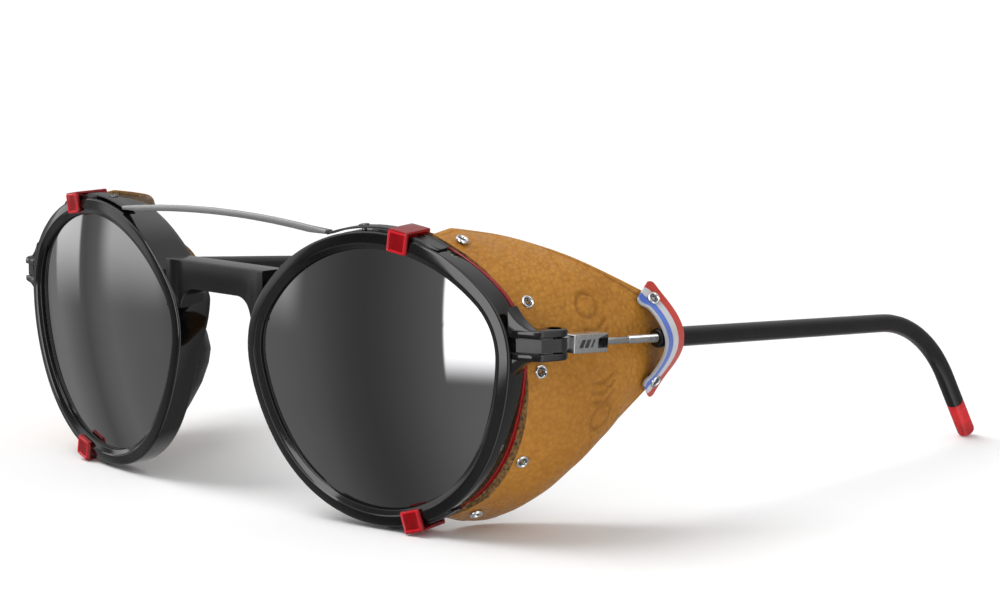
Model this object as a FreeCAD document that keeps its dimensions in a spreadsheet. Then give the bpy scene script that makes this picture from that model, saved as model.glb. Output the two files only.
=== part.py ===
"""Glacier glasses with clip-on leather side shields, as a parametric FreeCAD document.

Every sub-part is a document object of its own. +X is the wearer's left, the front of the glasses faces -Y,
the temples run to +Y and +Z is up. The glasses stand on their lower hooks and temple tips. Millimetres.
"""
import FreeCAD, Part
import math
import os
import Sketcher

V = FreeCAD.Vector
DOC = FreeCAD.newDocument("GlacierGlasses")

# ---------------------------------------------------------------- driving dimensions
SIZES = [
    # front: where the two lens planes are
    ("lens_centre_out", "=rim_half_width + 8.84", "lens centre from the middle of the bridge"),
    ("lens_centre_high", "=rim_bottom - 0.3", "lens centre above the lower hooks"),
    ("lens_plane_back", 2.3, "lens plane behind the bridge, at the lens centre"),
    ("wrap_angle", 8.85, "each lens plane turns back by this, degrees"),
    ("tilt_angle", 2.1, "the top of each lens leans forward by this, degrees"),
    ("lean_angle", 5.7, "the outline turns inwards at its top by this, degrees"),
    # rim outline, six arcs, outer edge
    ("rim_half_width", 26.66, "half width of the rim outline"),
    ("rim_top", "=rim_half_width - 2.86", "rim outline above the lens centre"),
    ("rim_bottom", "=rim_half_width - 2.16", "rim outline below the lens centre"),
    ("arc_top", "=rim_half_width + 4.04", "radius of the brow arc"),
    ("arc_shoulder", 14.4, "radius of the shoulder arcs"),
    ("arc_cheek", "=rim_half_width + 10.14", "radius of the cheek arcs"),
    ("arc_bottom", "=rim_half_width - 1.36", "radius of the lower arc"),
    ("rim_face", 2.8, "width of the rim's front face"),
    ("rim_depth", 4.2, "rim from front to back"),
    ("face_sphere", 115.0, "radius of the front surface of rims and lenses"),
    # lenses
    ("lens_thickness", 1.8, "lens"),
    ("lens_recess", 1.3, "lens behind the rim's front face"),
    ("groove_depth", 0.9, "lens held in the rim by this"),
    ("lens_gap", 0.05, "gap round the lens in its groove"),
    # bridge
    ("bridge_high", "=lens_centre_high + 15.5", "top of the bridge"),
    ("bridge_tall", 4.9, "height of the bridge"),
    ("bridge_front", -1.2, "front of the bridge"),
    ("bridge_depth", 5.0, "bridge from front to back"),
    ("bridge_half_length", "=bridge_half_gap + 3.5", "bridge reaches this far into each rim"),
    ("bridge_corner", 3.5, "rounding between the bridge's foot and the rims"),
    ("bridge_half_gap", 9.0, "half of the gap between the rims under the bridge"),
    # nose pads
    ("pad_long", 15.0, "nose pad, height"),
    ("pad_wide", 8.0, "nose pad, front to back"),
    ("pad_thick", 2.2, "nose pad thickness"),
    ("pad_high", "=lens_centre_high + 1.3", "nose pad centre"),
    ("pad_out", "=bridge_half_gap", "nose pad centre from the middle"),
    ("pad_back", 4.8, "nose pad centre behind the bridge"),
    ("pad_splay", 24.0, "nose pad turned outwards towards its back, degrees"),
    ("pad_flare", 18.0, "nose pad leaning outwards towards its foot, degrees"),
    # end pieces and hinges
    ("pin_out", "=lens_centre_out + rim_half_width + 3.24", "hinge pin from the middle"),
    ("pin_back", "=lens_plane_back + rim_half_width * sin(wrap_angle * 1 deg) + 5.8", "hinge pin behind the bridge"),
    ("hinge_high", "=lens_centre_high + 7.7", "middle of the hinge"),
    ("lug_height", 4.9, "end piece height at the hinge"),
    ("lug_boss", 2.1, "radius of the end piece round the pin"),
    ("knuckle_radius", 1.45, "temple knuckle"),
    ("knuckle_height", 2.3, "temple knuckle height"),
    ("knuckle_gap", 0.06, "running gap above and below the knuckle"),
    ("pin_radius", 0.7, "hinge screw shank"),
    ("pin_fit", 0.03, "running fit round the hinge screw"),
    ("pin_head", 1.15, "radius of the hinge screw's head"),
    ("pin_head_height", 0.6, "height of the hinge screw's head"),
    ("plate_thickness", 0.5, "decorative hinge plate"),
    ("plate_height", 2.1, "height of the hinge plate"),
    ("hinge_gap", 0.25, "gap between block and end piece"),
    # temples
    ("block_offset", 0.85, "temple axis outside the hinge pin"),
    ("block_width", 2.6, "temple block"),
    ("block_height", 3.0, "temple block height"),
    ("block_length", 8.4, "temple block from its shoulder"),
    ("block_notch", 2.4, "length of the notch in the block's end"),
    ("toe_angle", 2.5, "temples turned inwards, degrees"),
    ("droop_angle", 4.6, "temples fall towards their ends, degrees"),
    ("core_radius", 0.62, "temple wire"),
    ("core_seat", 2.6, "temple wire held in the block by this"),
    ("sleeve_start", 24.6, "temple sleeve starts behind the pin"),
    ("sleeve_radius", 1.65, "temple sleeve"),
    ("bend_start", 91.5, "temple bend starts behind the pin"),
    ("bend_radius", 31.0, "temple bend"),
    ("bend_angle", 50.0, "turn of the temple bend, degrees"),
    ("end_length", 14.4, "straight end of the temple below the bend"),
    ("tip_length", 8.0, "red tip on the end of the sleeve"),
    ("tip_round", 0.5, "rounding of the tip"),
    # clip-on: carriers, hooks, pads
    ("carrier_thickness", 0.65, "carrier plate behind the rim"),
    ("carrier_gap", 0.1, "carrier behind the rim"),
    ("carrier_width", 2.6, "carrier plate, across"),
    ("flange_thickness", 0.9, "carrier flange under the leather"),
    ("flange_depth", 5.0, "carrier flange behind the carrier plate"),
    ("flange_end_share", 0.03, "flange stops short of the leather's top and foot, share of its section"),
    ("flange_gap_low", 3.2, "lower flange stops at this height above the lens centre"),
    ("flange_gap_high", 12.0, "upper flange starts at this height above the lens centre"),
    ("hook_width", 3.8, "hook"),
    ("hook_wall", 0.75, "hook wall"),
    ("hook_reach", 2.6, "hook reaches this far down over the rim's face"),
    ("hook_rubber", 0.45, "rubber between hook and rim"),
    ("hook_face_gap", 0.15, "gap between hook and rim face"),
    ("top_hook_out", 6.2, "upper hook from the lens centre"),
    ("bottom_hook_out", 7.6, "lower hook from the lens centre"),
    ("top_hook_turn", -9.0, "upper hook turned from upright, degrees"),
    ("bottom_hook_turn", 16.0, "lower hook turned from upright, degrees"),
    ("rubber_beyond", 5.4, "rubber pad along the rim beyond each side of its hook"),
    ("rubber_width", 3.4, "rubber pad front to back"),
    # clip-on: steel bar
    ("bar_rise", "=lens_centre_high + rim_top + 1", "top of the bar over the bridge"),
    ("bar_end_high", "=bar_rise - 1.5", "top of the bar at its ends"),
    ("bar_half_span", "=lens_centre_out - 9.2", "bar, half of its arch"),
    ("bar_height", 1.1, "bar, top to bottom"),
    ("bar_thickness", 0.8, "bar, front to back"),
    ("bar_front", 0.1, "front of the bar"),
    ("bar_foot_start", 9.8, "bar's foot starts this far inwards of the lens centre"),
    ("bar_screw_out", 2.9, "screw of the bar's foot, inwards of the lens centre"),
    ("bar_foot_width", 2.6, "flat foot, front to back"),
    ("bar_foot_thickness", 0.6, "flat foot"),
    ("bar_screw_radius", 0.45, "screw through the bar's foot"),
    ("bar_screw_head", 0.9, "its head"),
    ("bar_screw_length", 0.95, "its shank below the foot's top"),
    ("bar_screw_seat", 0.05, "its head above the foot"),
    # leather side shields
    ("leather_thickness", 1.0, "leather"),
    ("leather_seat", 0.2, "leather clear of the flange under it"),
    ("shield_front_width", "=rim_half_width - 0.36", "leather's side at its front edge from the lens centre"),
    ("shield_front_side_high", 1.0, "the same, above the lens centre"),
    ("shield_front_top", "=rim_top + 0.6", "leather's top at its front edge above the lens centre"),
    ("shield_front_top_out", 8.8, "the same, outwards"),
    ("shield_front_bottom", "=0.6 - rim_bottom", "leather's foot at its front edge"),
    ("shield_front_bottom_out", 9.8, "the same, outwards"),
    ("shield_rear_out", "=rim_half_width + 6.24", "leather's end from the lens centre"),
    ("shield_rear_bulge", 0.2, "leather's side at its end, further out than its top and foot"),
    ("shield_rear_top", 5.0, "top of the leather's end"),
    ("shield_rear_bottom", 1.0, "foot of the leather's end"),
    ("shield_rear_depth", 39.6, "leather's end behind the lens plane"),
    ("rivet_radius", 1.15, "rivet head"),
    ("rivet_shank", 0.6, "rivet shank"),
    ("rivet_head_height", 0.45, "rivet head height"),
    ("rivet_seat_room", 1.0, "cleared above and below a rivet's grip"),
    ("rivet_clearance", 0.5, "hole in the leather round a ribbon rivet"),
    ("rivet_roll", 0.85, "rolled back of a rivet, share of its head's radius"),
    ("rivet_soft", 0.6, "sloping part of a rivet's head, share of its height"),
    # ribbons
    ("ribbon_width", 4.6, "ribbon"),
    ("ribbon_thickness", 0.5, "ribbon thickness"),
    ("ribbon_clearance", 0.85, "ribbon above leather and sleeve"),
    ("ribbon_rivet_slack", 0.6, "ribbon rivets' rolled backs clear of the leather"),
    ("ribbon_end_back", 24.8, "ribbon ends behind the hinge pin"),
    ("ribbon_end_high", 8.7, "ribbon ends above and below the ribbon's middle"),
    ("ribbon_rivet_back", 26.3, "ribbon rivets behind the hinge pin"),
    ("ribbon_rivet_high", 6.7, "ribbon rivets above and below the ribbon's middle"),
    ("ribbon_middle_back", 26.1, "ribbon's middle behind the hinge pin"),
    ("ribbon_low", 0.55, "rivets and ends lie lower than evenly about the temple's axis"),
]

SHEET = DOC.addObject("Spreadsheet::Sheet", "Sizes")
for row, (alias, number, meaning) in enumerate(SIZES, start=1):
    SHEET.set(f"A{row}", meaning)
    SHEET.set(f"B{row}", str(number))
    SHEET.setAlias(f"B{row}", alias)
DOC.recompute()


def size(alias):
    """A driving dimension's value."""
    return float(SHEET.get(alias))


SIDES = {"left": 1, "right": -1}
NODES = []


def node(obj, label):
    """Label a finished sub-part and list it for writing."""
    obj.Label = label
    NODES.append(obj)
    return obj


# ---------------------------------------------------------------- frames of reference
def lens_frame(side, lean=False):
    """Lens plane: local X outwards on the left, local Y up, local Z forwards out of the face."""
    wrap = math.radians(size("wrap_angle"))
    tilt = math.radians(size("tilt_angle"))
    out = V(math.cos(wrap), side * math.sin(wrap), 0)
    level = V(side * math.sin(wrap), -math.cos(wrap), 0)
    up = V(0, 0, 1) * math.cos(tilt) + level * math.sin(tilt)
    ahead = level * math.cos(tilt) - V(0, 0, 1) * math.sin(tilt)
    turn = FreeCAD.Rotation(out, up, ahead, "ZXY")
    if lean:
        turn = turn.multiply(FreeCAD.Rotation(V(0, 0, 1), side * size("lean_angle")))
    centre = V(side * size("lens_centre_out"), size("lens_plane_back"), size("lens_centre_high"))
    return FreeCAD.Placement(centre, turn)


def temple_frame(side):
    """Temple: local Y along the temple, local Z up, origin beside the hinge pin on the temple's axis."""
    start = V(side * (size("pin_out") + size("block_offset")), size("pin_back"), size("hinge_high"))
    return FreeCAD.Placement(start, FreeCAD.Rotation(V(0, 0, 1), side * size("toe_angle")))


def face_sag():
    """How far the face sphere's crown stands in front of the plane of the rim's outer edge."""
    return size("rim_half_width") ** 2 / (2 * size("face_sphere"))


# ---------------------------------------------------------------- document helpers
def new_body(name, placement=None):
    body = DOC.addObject("PartDesign::Body", name)
    if placement is not None:
        body.Placement = placement
    return body


def origin_plane(body, role):
    return next(item for item in body.Origin.OriginFeatures if item.Role == role)


def new_sketch(body, name, role="XY_Plane", offset=None):
    sketch = body.newObject("Sketcher::SketchObject", name)
    sketch.AttachmentSupport = (origin_plane(body, role), [""])
    sketch.MapMode = "FlatFace"
    if offset is not None:
        sketch.AttachmentOffset = offset
    return sketch


def pad(body, sketch, length, midplane=False, reverse=False):
    """Pad a sketch; length is an expression over the sheet."""
    feature = body.newObject("PartDesign::Pad", sketch.Name + "_pad")
    feature.Profile = sketch
    feature.Midplane = midplane
    feature.Reversed = reverse
    feature.setExpression("Length", length)
    DOC.recompute()
    return feature


def pocket_through(body, sketch):
    feature = body.newObject("PartDesign::Pocket", sketch.Name + "_pocket")
    feature.Profile = sketch
    feature.Type = "ThroughAll"
    feature.Midplane = True
    DOC.recompute()
    return feature


def polygon(sketch, points):
    """Closed polygon of straight lines, fixed in place."""
    count = len(points)
    for start in range(count):
        sketch.addGeometry(Part.LineSegment(V(*points[start], 0), V(*points[(start + 1) % count], 0)))
    for line in range(count):
        sketch.addConstraint(Sketcher.Constraint("Coincident", line, 2, (line + 1) % count, 1))
    return sketch


def rectangle(sketch, x_low, x_high, y_low, y_high):
    """Rectangle whose four edges are at the given expressions."""
    values = [float(SHEET.evalExpression(text)) if isinstance(text, str) else text
              for text in (x_low, x_high, y_low, y_high)]
    left, right, low, high = values
    polygon(sketch, [(left, low), (right, low), (right, high), (left, high)])
    for line, kind in ((0, "Horizontal"), (2, "Horizontal"), (1, "Vertical"), (3, "Vertical")):
        sketch.addConstraint(Sketcher.Constraint(kind, line))
    for kind, line, value, text in (("DistanceX", 0, left, x_low), ("DistanceX", 1, right, x_high),
                                    ("DistanceY", 0, low, y_low), ("DistanceY", 2, high, y_high)):
        index = sketch.addConstraint(Sketcher.Constraint(kind, -1, 1, line, 1, value))
        if isinstance(text, str):
            sketch.setExpression(f"Constraints[{index}]", text)
    return sketch


def circle(sketch, centre, radius):
    """Circle with its radius bound to an expression."""
    value = float(SHEET.evalExpression(radius))
    curve = sketch.addGeometry(Part.Circle(V(*centre, 0), V(0, 0, 1), value))
    index = sketch.addConstraint(Sketcher.Constraint("Radius", curve, value))
    sketch.setExpression(f"Constraints[{index}]", radius)
    return sketch


# ---------------------------------------------------------------- rim outline
def outline_arcs(inset):
    """Centres and radii of the brow, shoulder, cheek and lower arcs of the right half, moved inwards."""
    top = size("arc_top") - inset
    shoulder = size("arc_shoulder") - inset
    cheek = size("arc_cheek") - inset
    bottom = size("arc_bottom") - inset
    top_centre = V(0, size("rim_top") - size("arc_top"), 0)
    bottom_centre = V(0, size("arc_bottom") - size("rim_bottom"), 0)
    shoulder_x = size("rim_half_width") - size("arc_shoulder")
    rise = math.sqrt((top - shoulder) ** 2 - shoulder_x ** 2)
    shoulder_centre = V(shoulder_x, top_centre.y + rise, 0)
    # the cheek arc touches the shoulder arc and the lower arc from outside both
    to_shoulder = cheek - shoulder
    to_bottom = cheek - bottom
    span = bottom_centre - shoulder_centre
    along = (to_shoulder ** 2 - to_bottom ** 2 + span.Length ** 2) / (2 * span.Length)
    aside = math.sqrt(to_shoulder ** 2 - along ** 2)
    unit = V(span).normalize()
    normal = V(-unit.y, unit.x, 0)
    choices = [shoulder_centre + unit * along + normal * hand * aside for hand in (1, -1)]
    cheek_centre = min(choices, key=lambda point: point.x)
    return (top_centre, top), (shoulder_centre, shoulder), (cheek_centre, cheek), (bottom_centre, bottom)


def bearing(start, end):
    return math.atan2(end.y - start.y, end.x - start.x)


def outline_curves(inset):
    """The closed outline as six arcs, anticlockwise from the right end of the brow."""
    (top_c, top_r), (shoulder_c, shoulder_r), (cheek_c, cheek_r), (bottom_c, bottom_r) = outline_arcs(inset)
    brow = bearing(top_c, shoulder_c)
    side = bearing(cheek_c, shoulder_c)
    foot = bearing(cheek_c, bottom_c)

    def arc(centre, radius, start, end):
        return Part.ArcOfCircle(Part.Circle(centre, V(0, 0, 1), radius), start, end)

    def mirrored(centre):
        return V(-centre.x, centre.y, 0)

    return [
        arc(top_c, top_r, brow, math.pi - brow),
        arc(mirrored(shoulder_c), shoulder_r, math.pi - brow, math.pi - side),
        arc(mirrored(cheek_c), cheek_r, math.pi - side, math.pi - foot),
        arc(bottom_c, bottom_r, math.pi - foot, 2 * math.pi + foot),
        arc(cheek_c, cheek_r, foot, side),
        arc(shoulder_c, shoulder_r, side, brow),
    ]


def outline_sketch(body, name, inset_text):
    """Sketch of the rim outline moved inwards, its arcs bound to the sheet."""
    inset = float(SHEET.evalExpression(inset_text))
    sketch = new_sketch(body, name)
    curves = outline_curves(inset)
    for curve in curves:
        sketch.addGeometry(curve)
    for arc in range(6):
        sketch.addConstraint(Sketcher.Constraint("Tangent", arc, 2, (arc + 1) % 6, 1))
    for arc, alias in ((0, "arc_top"), (1, "arc_shoulder"), (2, "arc_cheek"), (3, "arc_bottom"),
                       (4, "arc_cheek"), (5, "arc_shoulder")):
        index = sketch.addConstraint(Sketcher.Constraint("Radius", arc, curves[arc].Radius))
        sketch.setExpression(f"Constraints[{index}]", f"Sizes.{alias} - ({inset_text})")
    return sketch


def outline_prism(name, side, inset_text, depth=40.0, hole_inset=None):
    """Straight prism of the outline through the lens plane, with a hole of another inset."""
    body = new_body(name, lens_frame(side, lean=True))
    feature = body.newObject("PartDesign::Pad", name + "_pad")
    feature.Profile = outline_sketch(body, name + "_outline", inset_text)
    feature.Midplane = True
    feature.Length = depth
    DOC.recompute()
    if hole_inset is not None:
        pocket_through(body, outline_sketch(body, name + "_hole", hole_inset))
    return body


def sphere(name, side, drop_text):
    """Sphere concentric with the rim's front surface, smaller by an expression."""
    ball = DOC.addObject("Part::Sphere", name)
    ball.setExpression("Radius", f"Sizes.face_sphere - ({drop_text})")
    frame = lens_frame(side)
    ball.Placement = FreeCAD.Placement(frame.multVec(V(0, 0, face_sag() - size("face_sphere"))), frame.Rotation)
    return ball


def face_shell(name, side, front_text, back_text):
    """Shell between two spheres concentric with the rim's front surface."""
    shell = DOC.addObject("Part::Cut", name)
    shell.Base = sphere(name + "_front", side, front_text)
    shell.Tool = sphere(name + "_back", side, back_text)
    return shell


def boolean(kind, name, shapes):
    result = DOC.addObject(kind, name)
    if kind == "Part::Cut":
        result.Base, result.Tool = shapes
    else:
        result.Shapes = shapes
    DOC.recompute()
    return result


def feature(name, shape, placement=None):
    item = DOC.addObject("Part::Feature", name)
    item.Shape = shape
    if placement is not None:
        item.Placement = placement
    return item


# ---------------------------------------------------------------- lenses and front
def make_lens(label, side):
    """Curved lens whose edge sits in the rim's groove."""
    edge = outline_prism(label + "_edge", side, "Sizes.rim_face - Sizes.groove_depth + Sizes.lens_gap")
    shell = face_shell(label + "_shell", side, "Sizes.lens_recess", "Sizes.lens_recess + Sizes.lens_thickness")
    return node(boolean("Part::MultiCommon", label + "_body", [edge, shell]), label)


def rim(name, side):
    ring = outline_prism(name + "_ring", side, "0", hole_inset="Sizes.rim_face")
    shell = face_shell(name + "_shell", side, "0", "Sizes.rim_depth")
    return boolean("Part::MultiCommon", name, [ring, shell])


def lens_groove(name, side):
    edge = outline_prism(name + "_edge", side, "Sizes.rim_face - Sizes.groove_depth")
    shell = face_shell(name + "_shell", side, "Sizes.lens_recess - Sizes.lens_gap",
                       "Sizes.lens_recess + Sizes.lens_thickness + Sizes.lens_gap")
    return boolean("Part::MultiCommon", name, [edge, shell])


def make_bridge():
    """Bridge block with a rounded keyhole corner under each end."""
    body = new_body("bridge")
    front = FreeCAD.Placement(V(0, 0, -size("bridge_front")), FreeCAD.Rotation())
    sketch = new_sketch(body, "bridge_face", "XZ_Plane", front)
    end = size("bridge_half_length")
    gap = size("bridge_half_gap")
    corner = size("bridge_corner")
    high = size("bridge_high")
    foot = high - size("bridge_tall")
    low = foot - corner
    path = [(-end, high), (end, high), (end, low), (gap, low)]
    for start, stop in zip(path, path[1:]):
        sketch.addGeometry(Part.LineSegment(V(*start, 0), V(*stop, 0)))
    quarter = math.pi / 2
    sketch.addGeometry(Part.ArcOfCircle(Part.Circle(V(gap - corner, low, 0), V(0, 0, 1), corner), 0, quarter))
    sketch.addGeometry(Part.LineSegment(V(gap - corner, foot, 0), V(corner - gap, foot, 0)))
    sketch.addGeometry(Part.ArcOfCircle(Part.Circle(V(corner - gap, low, 0), V(0, 0, 1), corner),
                                        quarter, math.pi))
    sketch.addGeometry(Part.LineSegment(V(-gap, low, 0), V(-end, low, 0)))
    sketch.addGeometry(Part.LineSegment(V(-end, low, 0), V(-end, high, 0)))
    pad(body, sketch, "Sizes.bridge_depth", reverse=True)
    return body


def lug_plan(side):
    """Plan of an end piece: from the rim's side wall out and back to the boss round the hinge pin."""
    frame = lens_frame(side)
    level = size("hinge_high") - size("lens_centre_high")
    half = size("rim_half_width")
    deep = size("rim_depth")

    def at_rim(out, back):
        point = frame.multVec(V(side * (half + out), level, -back))
        return (point.x, point.y)

    def at_pin(out, back):
        return (side * (size("pin_out") + out), size("pin_back") + back)

    boss = size("lug_boss")
    return [at_rim(-1.6, 0.9), at_rim(0.3, 0.7), at_pin(0.6, -3.6), at_pin(boss, -0.6), at_pin(0, 0),
            at_pin(-1.5, -1.2), at_rim(0.9, deep - 0.3), at_rim(-1.4, deep - 0.5)]


def hinge_level():
    return FreeCAD.Placement(V(0, 0, size("hinge_high")), FreeCAD.Rotation())


def pin_point(side):
    return (side * size("pin_out"), size("pin_back"))


def make_lug(name, side):
    """Forked end piece with its screw hole and counterbore."""
    body = new_body(name)
    pad(body, polygon(new_sketch(body, name + "_plan", offset=hinge_level()), lug_plan(side)),
        "Sizes.lug_height", midplane=True)
    pad(body, circle(new_sketch(body, name + "_boss", offset=hinge_level()), pin_point(side), "Sizes.lug_boss"),
        "Sizes.lug_height", midplane=True)
    fork = new_sketch(body, name + "_fork", offset=hinge_level())
    pin_x, pin_y = pin_point(side)
    reach = 2 * size("lug_boss")
    front = pin_y - size("knuckle_radius") - size("hinge_gap")
    polygon(fork, [(pin_x - reach, front), (pin_x + reach, front), (pin_x + reach, pin_y + reach),
                   (pin_x - reach, pin_y + reach)])
    slot = body.newObject("PartDesign::Pocket", name + "_slot")
    slot.Profile = fork
    slot.Midplane = True
    slot.setExpression("Length", "Sizes.knuckle_height + 2 * Sizes.knuckle_gap")
    DOC.recompute()
    pocket_through(body, circle(new_sketch(body, name + "_hole", offset=hinge_level()), pin_point(side),
                                "Sizes.pin_radius"))
    top = FreeCAD.Placement(V(0, 0, size("hinge_high") + size("lug_height") / 2), FreeCAD.Rotation())
    counterbore = body.newObject("PartDesign::Pocket", name + "_counterbore")
    counterbore.Profile = circle(new_sketch(body, name + "_head", offset=top), pin_point(side), "Sizes.pin_head")
    counterbore.setExpression("Length", "Sizes.pin_head_height")
    DOC.recompute()
    return body


def make_hinge_plate(label, side):
    """Dark metal plate let into the end piece's outer face and bent round the knuckle."""
    plan = lug_plan(side)
    thick = size("plate_thickness")
    boss = size("lug_boss")
    pin = V(*pin_point(side), 0)
    start, corner, shoulder = (V(*point, 0) for point in plan[1:4])
    start = start + (corner - start) * 0.03
    first = V(shoulder - pin)
    reach = math.sqrt(max(boss ** 2 - first.y ** 2, 0))
    shoulder = pin + V(side * reach, first.y, 0)
    begin = math.atan2(first.y, reach)
    finish = math.radians(28)

    def on_boss(radius, angle):
        return pin + V(side * radius * math.cos(angle), radius * math.sin(angle), 0)

    def inward(a, b):
        run = (b - a).normalize()
        return V(-run.y, run.x, 0) * side * thick

    shift_in = inward(start, corner)
    turn_in = (inward(start, corner) + inward(corner, shoulder)) * 0.5
    middle = (begin + finish) / 2
    outer = Part.Arc(shoulder, on_boss(boss, middle), on_boss(boss, finish)).toShape()
    inner = Part.Arc(on_boss(boss - thick, finish), on_boss(boss - thick, middle),
                     on_boss(boss - thick, begin)).toShape()
    edges = [Part.makeLine(start, corner), Part.makeLine(corner, shoulder), outer,
             Part.makeLine(on_boss(boss, finish), on_boss(boss - thick, finish)), inner,
             Part.makeLine(on_boss(boss - thick, begin), corner + turn_in),
             Part.makeLine(corner + turn_in, start + shift_in), Part.makeLine(start + shift_in, start)]
    face = Part.Face(Part.Wire(edges))
    plate = face.extrude(V(0, 0, size("plate_height")))
    plate.translate(V(0, 0, size("hinge_high") - size("plate_height") / 2))
    return node(feature(label + "_body", plate), label)


def make_hinge_screw(label, side):
    """Screw through both ears of the end piece: shank and flush head, turned as one."""
    low = V(*pin_point(side), size("hinge_high") - size("lug_height") / 2)
    body = new_body(label + "_body", FreeCAD.Placement(low, FreeCAD.Rotation()))
    shank = circle(new_sketch(body, label + "_shank"), (0, 0), "Sizes.pin_radius")
    pad(body, shank, "Sizes.lug_height")
    lift = FreeCAD.Placement(V(0, 0, size("lug_height")), FreeCAD.Rotation())
    head = circle(new_sketch(body, label + "_head", offset=lift), (0, 0), "Sizes.pin_head")
    pad(body, head, "Sizes.pin_head_height", reverse=True)
    return node(body, label)


def make_front(plates):
    """One moulding: two rims, bridge and end pieces, open for the lenses, plates let in."""
    blanks = [make_bridge()]
    cuts = list(plates)
    for word, side in SIDES.items():
        blanks.append(rim("rim_" + word, side))
        blanks.append(make_lug("lug_" + word, side))
        cuts.append(lens_groove("groove_" + word, side))
        cuts.append(outline_prism("aperture_" + word, side, "Sizes.rim_face"))
    whole = boolean("Part::MultiFuse", "front_blank", blanks)
    tools = boolean("Part::MultiFuse", "front_cuts", cuts)
    return node(boolean("Part::Cut", "front_body", (whole, tools)), "front_frame")


def make_nose_pad(label, side, front):
    """Oval nose pad bonded to the nasal back of a rim."""
    turn = FreeCAD.Rotation(V(0, 0, 1), -side * size("pad_splay"))
    turn = turn.multiply(FreeCAD.Rotation(V(0, 1, 0), -side * size("pad_flare")))
    centre = V(side * size("pad_out"), size("pad_back"), size("pad_high"))
    oval = DOC.addObject("Part::Ellipsoid", label + "_oval")
    oval.setExpression("Radius1", "Sizes.pad_long / 2")
    oval.setExpression("Radius2", "Sizes.pad_thick / 2")
    oval.setExpression("Radius3", "Sizes.pad_wide / 2")
    oval.Placement = FreeCAD.Placement(centre, turn)
    return node(boolean("Part::Cut", label + "_body", (oval, front)), label)


# ---------------------------------------------------------------- temples
def temple_stations():
    """Temple axis in its own upright plane: straight, bend, straight. Points as (back, high)."""
    droop = math.radians(size("droop_angle"))
    steep = droop + math.radians(size("bend_angle"))
    radius = size("bend_radius")
    begin = V(0, size("bend_start"), -size("bend_start") * math.tan(droop))
    centre = begin + V(0, -math.sin(droop), -math.cos(droop)) * radius

    def on_bend(angle):
        return centre + V(0, math.sin(angle), math.cos(angle)) * radius

    finish = on_bend(steep)
    end = finish + V(0, math.cos(steep), -math.sin(steep)) * size("end_length")
    return droop, steep, begin, on_bend((droop + steep) / 2), finish, end


def on_axis(back):
    """Point of the temple's straight run."""
    return V(0, back, -back * math.tan(math.radians(size("droop_angle"))))


def temple_tube(start, radius, cut_short):
    """Round bar along the temple's axis from a place on its straight run, ending short of its end."""
    droop, steep, begin, middle, finish, end = temple_stations()
    last = end - V(0, math.cos(steep), -math.sin(steep)) * cut_short
    spine = Part.Wire([Part.makeLine(on_axis(start), begin), Part.Arc(begin, middle, finish).toShape(),
                       Part.makeLine(finish, last)])
    ahead = V(0, math.cos(droop), -math.sin(droop))
    section = Part.Wire(Part.makeCircle(radius, on_axis(start), ahead))
    return spine.makePipeShell([section], True, True)


def make_temple_core(label, side):
    """Spring wire from inside the block to inside the tip."""
    start = size("lug_boss") + size("hinge_gap") + size("block_length") - size("block_notch") - size("core_seat")
    wire = temple_tube(start, size("core_radius"), size("tip_length") / 2)
    return node(feature(label + "_body", wire, temple_frame(side)), label)


def make_temple_sleeve(label, side, core):
    blank = feature(label + "_blank", temple_tube(size("sleeve_start"), size("sleeve_radius"), size("tip_length")),
                    temple_frame(side))
    return node(boolean("Part::Cut", label + "_body", (blank, core)), label)


def revolve(body, sketch):
    """Full turn of a half section about the sketch's own upright axis."""
    turned = body.newObject("PartDesign::Revolution", sketch.Name + "_turned")
    turned.Profile = sketch
    turned.ReferenceAxis = (sketch, ["V_Axis"])
    turned.Angle = 360
    DOC.recompute()
    return turned


def make_temple_tip(label, side, core):
    """Rounded cap on the end of the sleeve."""
    steep, end = temple_stations()[1], temple_stations()[5]
    ahead = V(0, math.cos(steep), -math.sin(steep))
    length = size("tip_length")
    radius = size("sleeve_radius")
    soft = size("tip_round")
    local = FreeCAD.Placement(end - ahead * length, FreeCAD.Rotation(V(0, 0, 1), ahead))
    body = new_body(label + "_cap", temple_frame(side).multiply(local))
    sketch = new_sketch(body, label + "_section", "XZ_Plane")
    path = [(radius - soft, length), (0, length), (0, 0), (radius, 0), (radius, length - soft)]
    for start, stop in zip(path, path[1:]):
        sketch.addGeometry(Part.LineSegment(V(*start, 0), V(*stop, 0)))
    rounding = Part.Circle(V(radius - soft, length - soft, 0), V(0, 0, 1), soft)
    sketch.addGeometry(Part.ArcOfCircle(rounding, 0, math.pi / 2))
    revolve(body, sketch)
    return node(boolean("Part::Cut", label + "_body", (body, core)), label)


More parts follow.
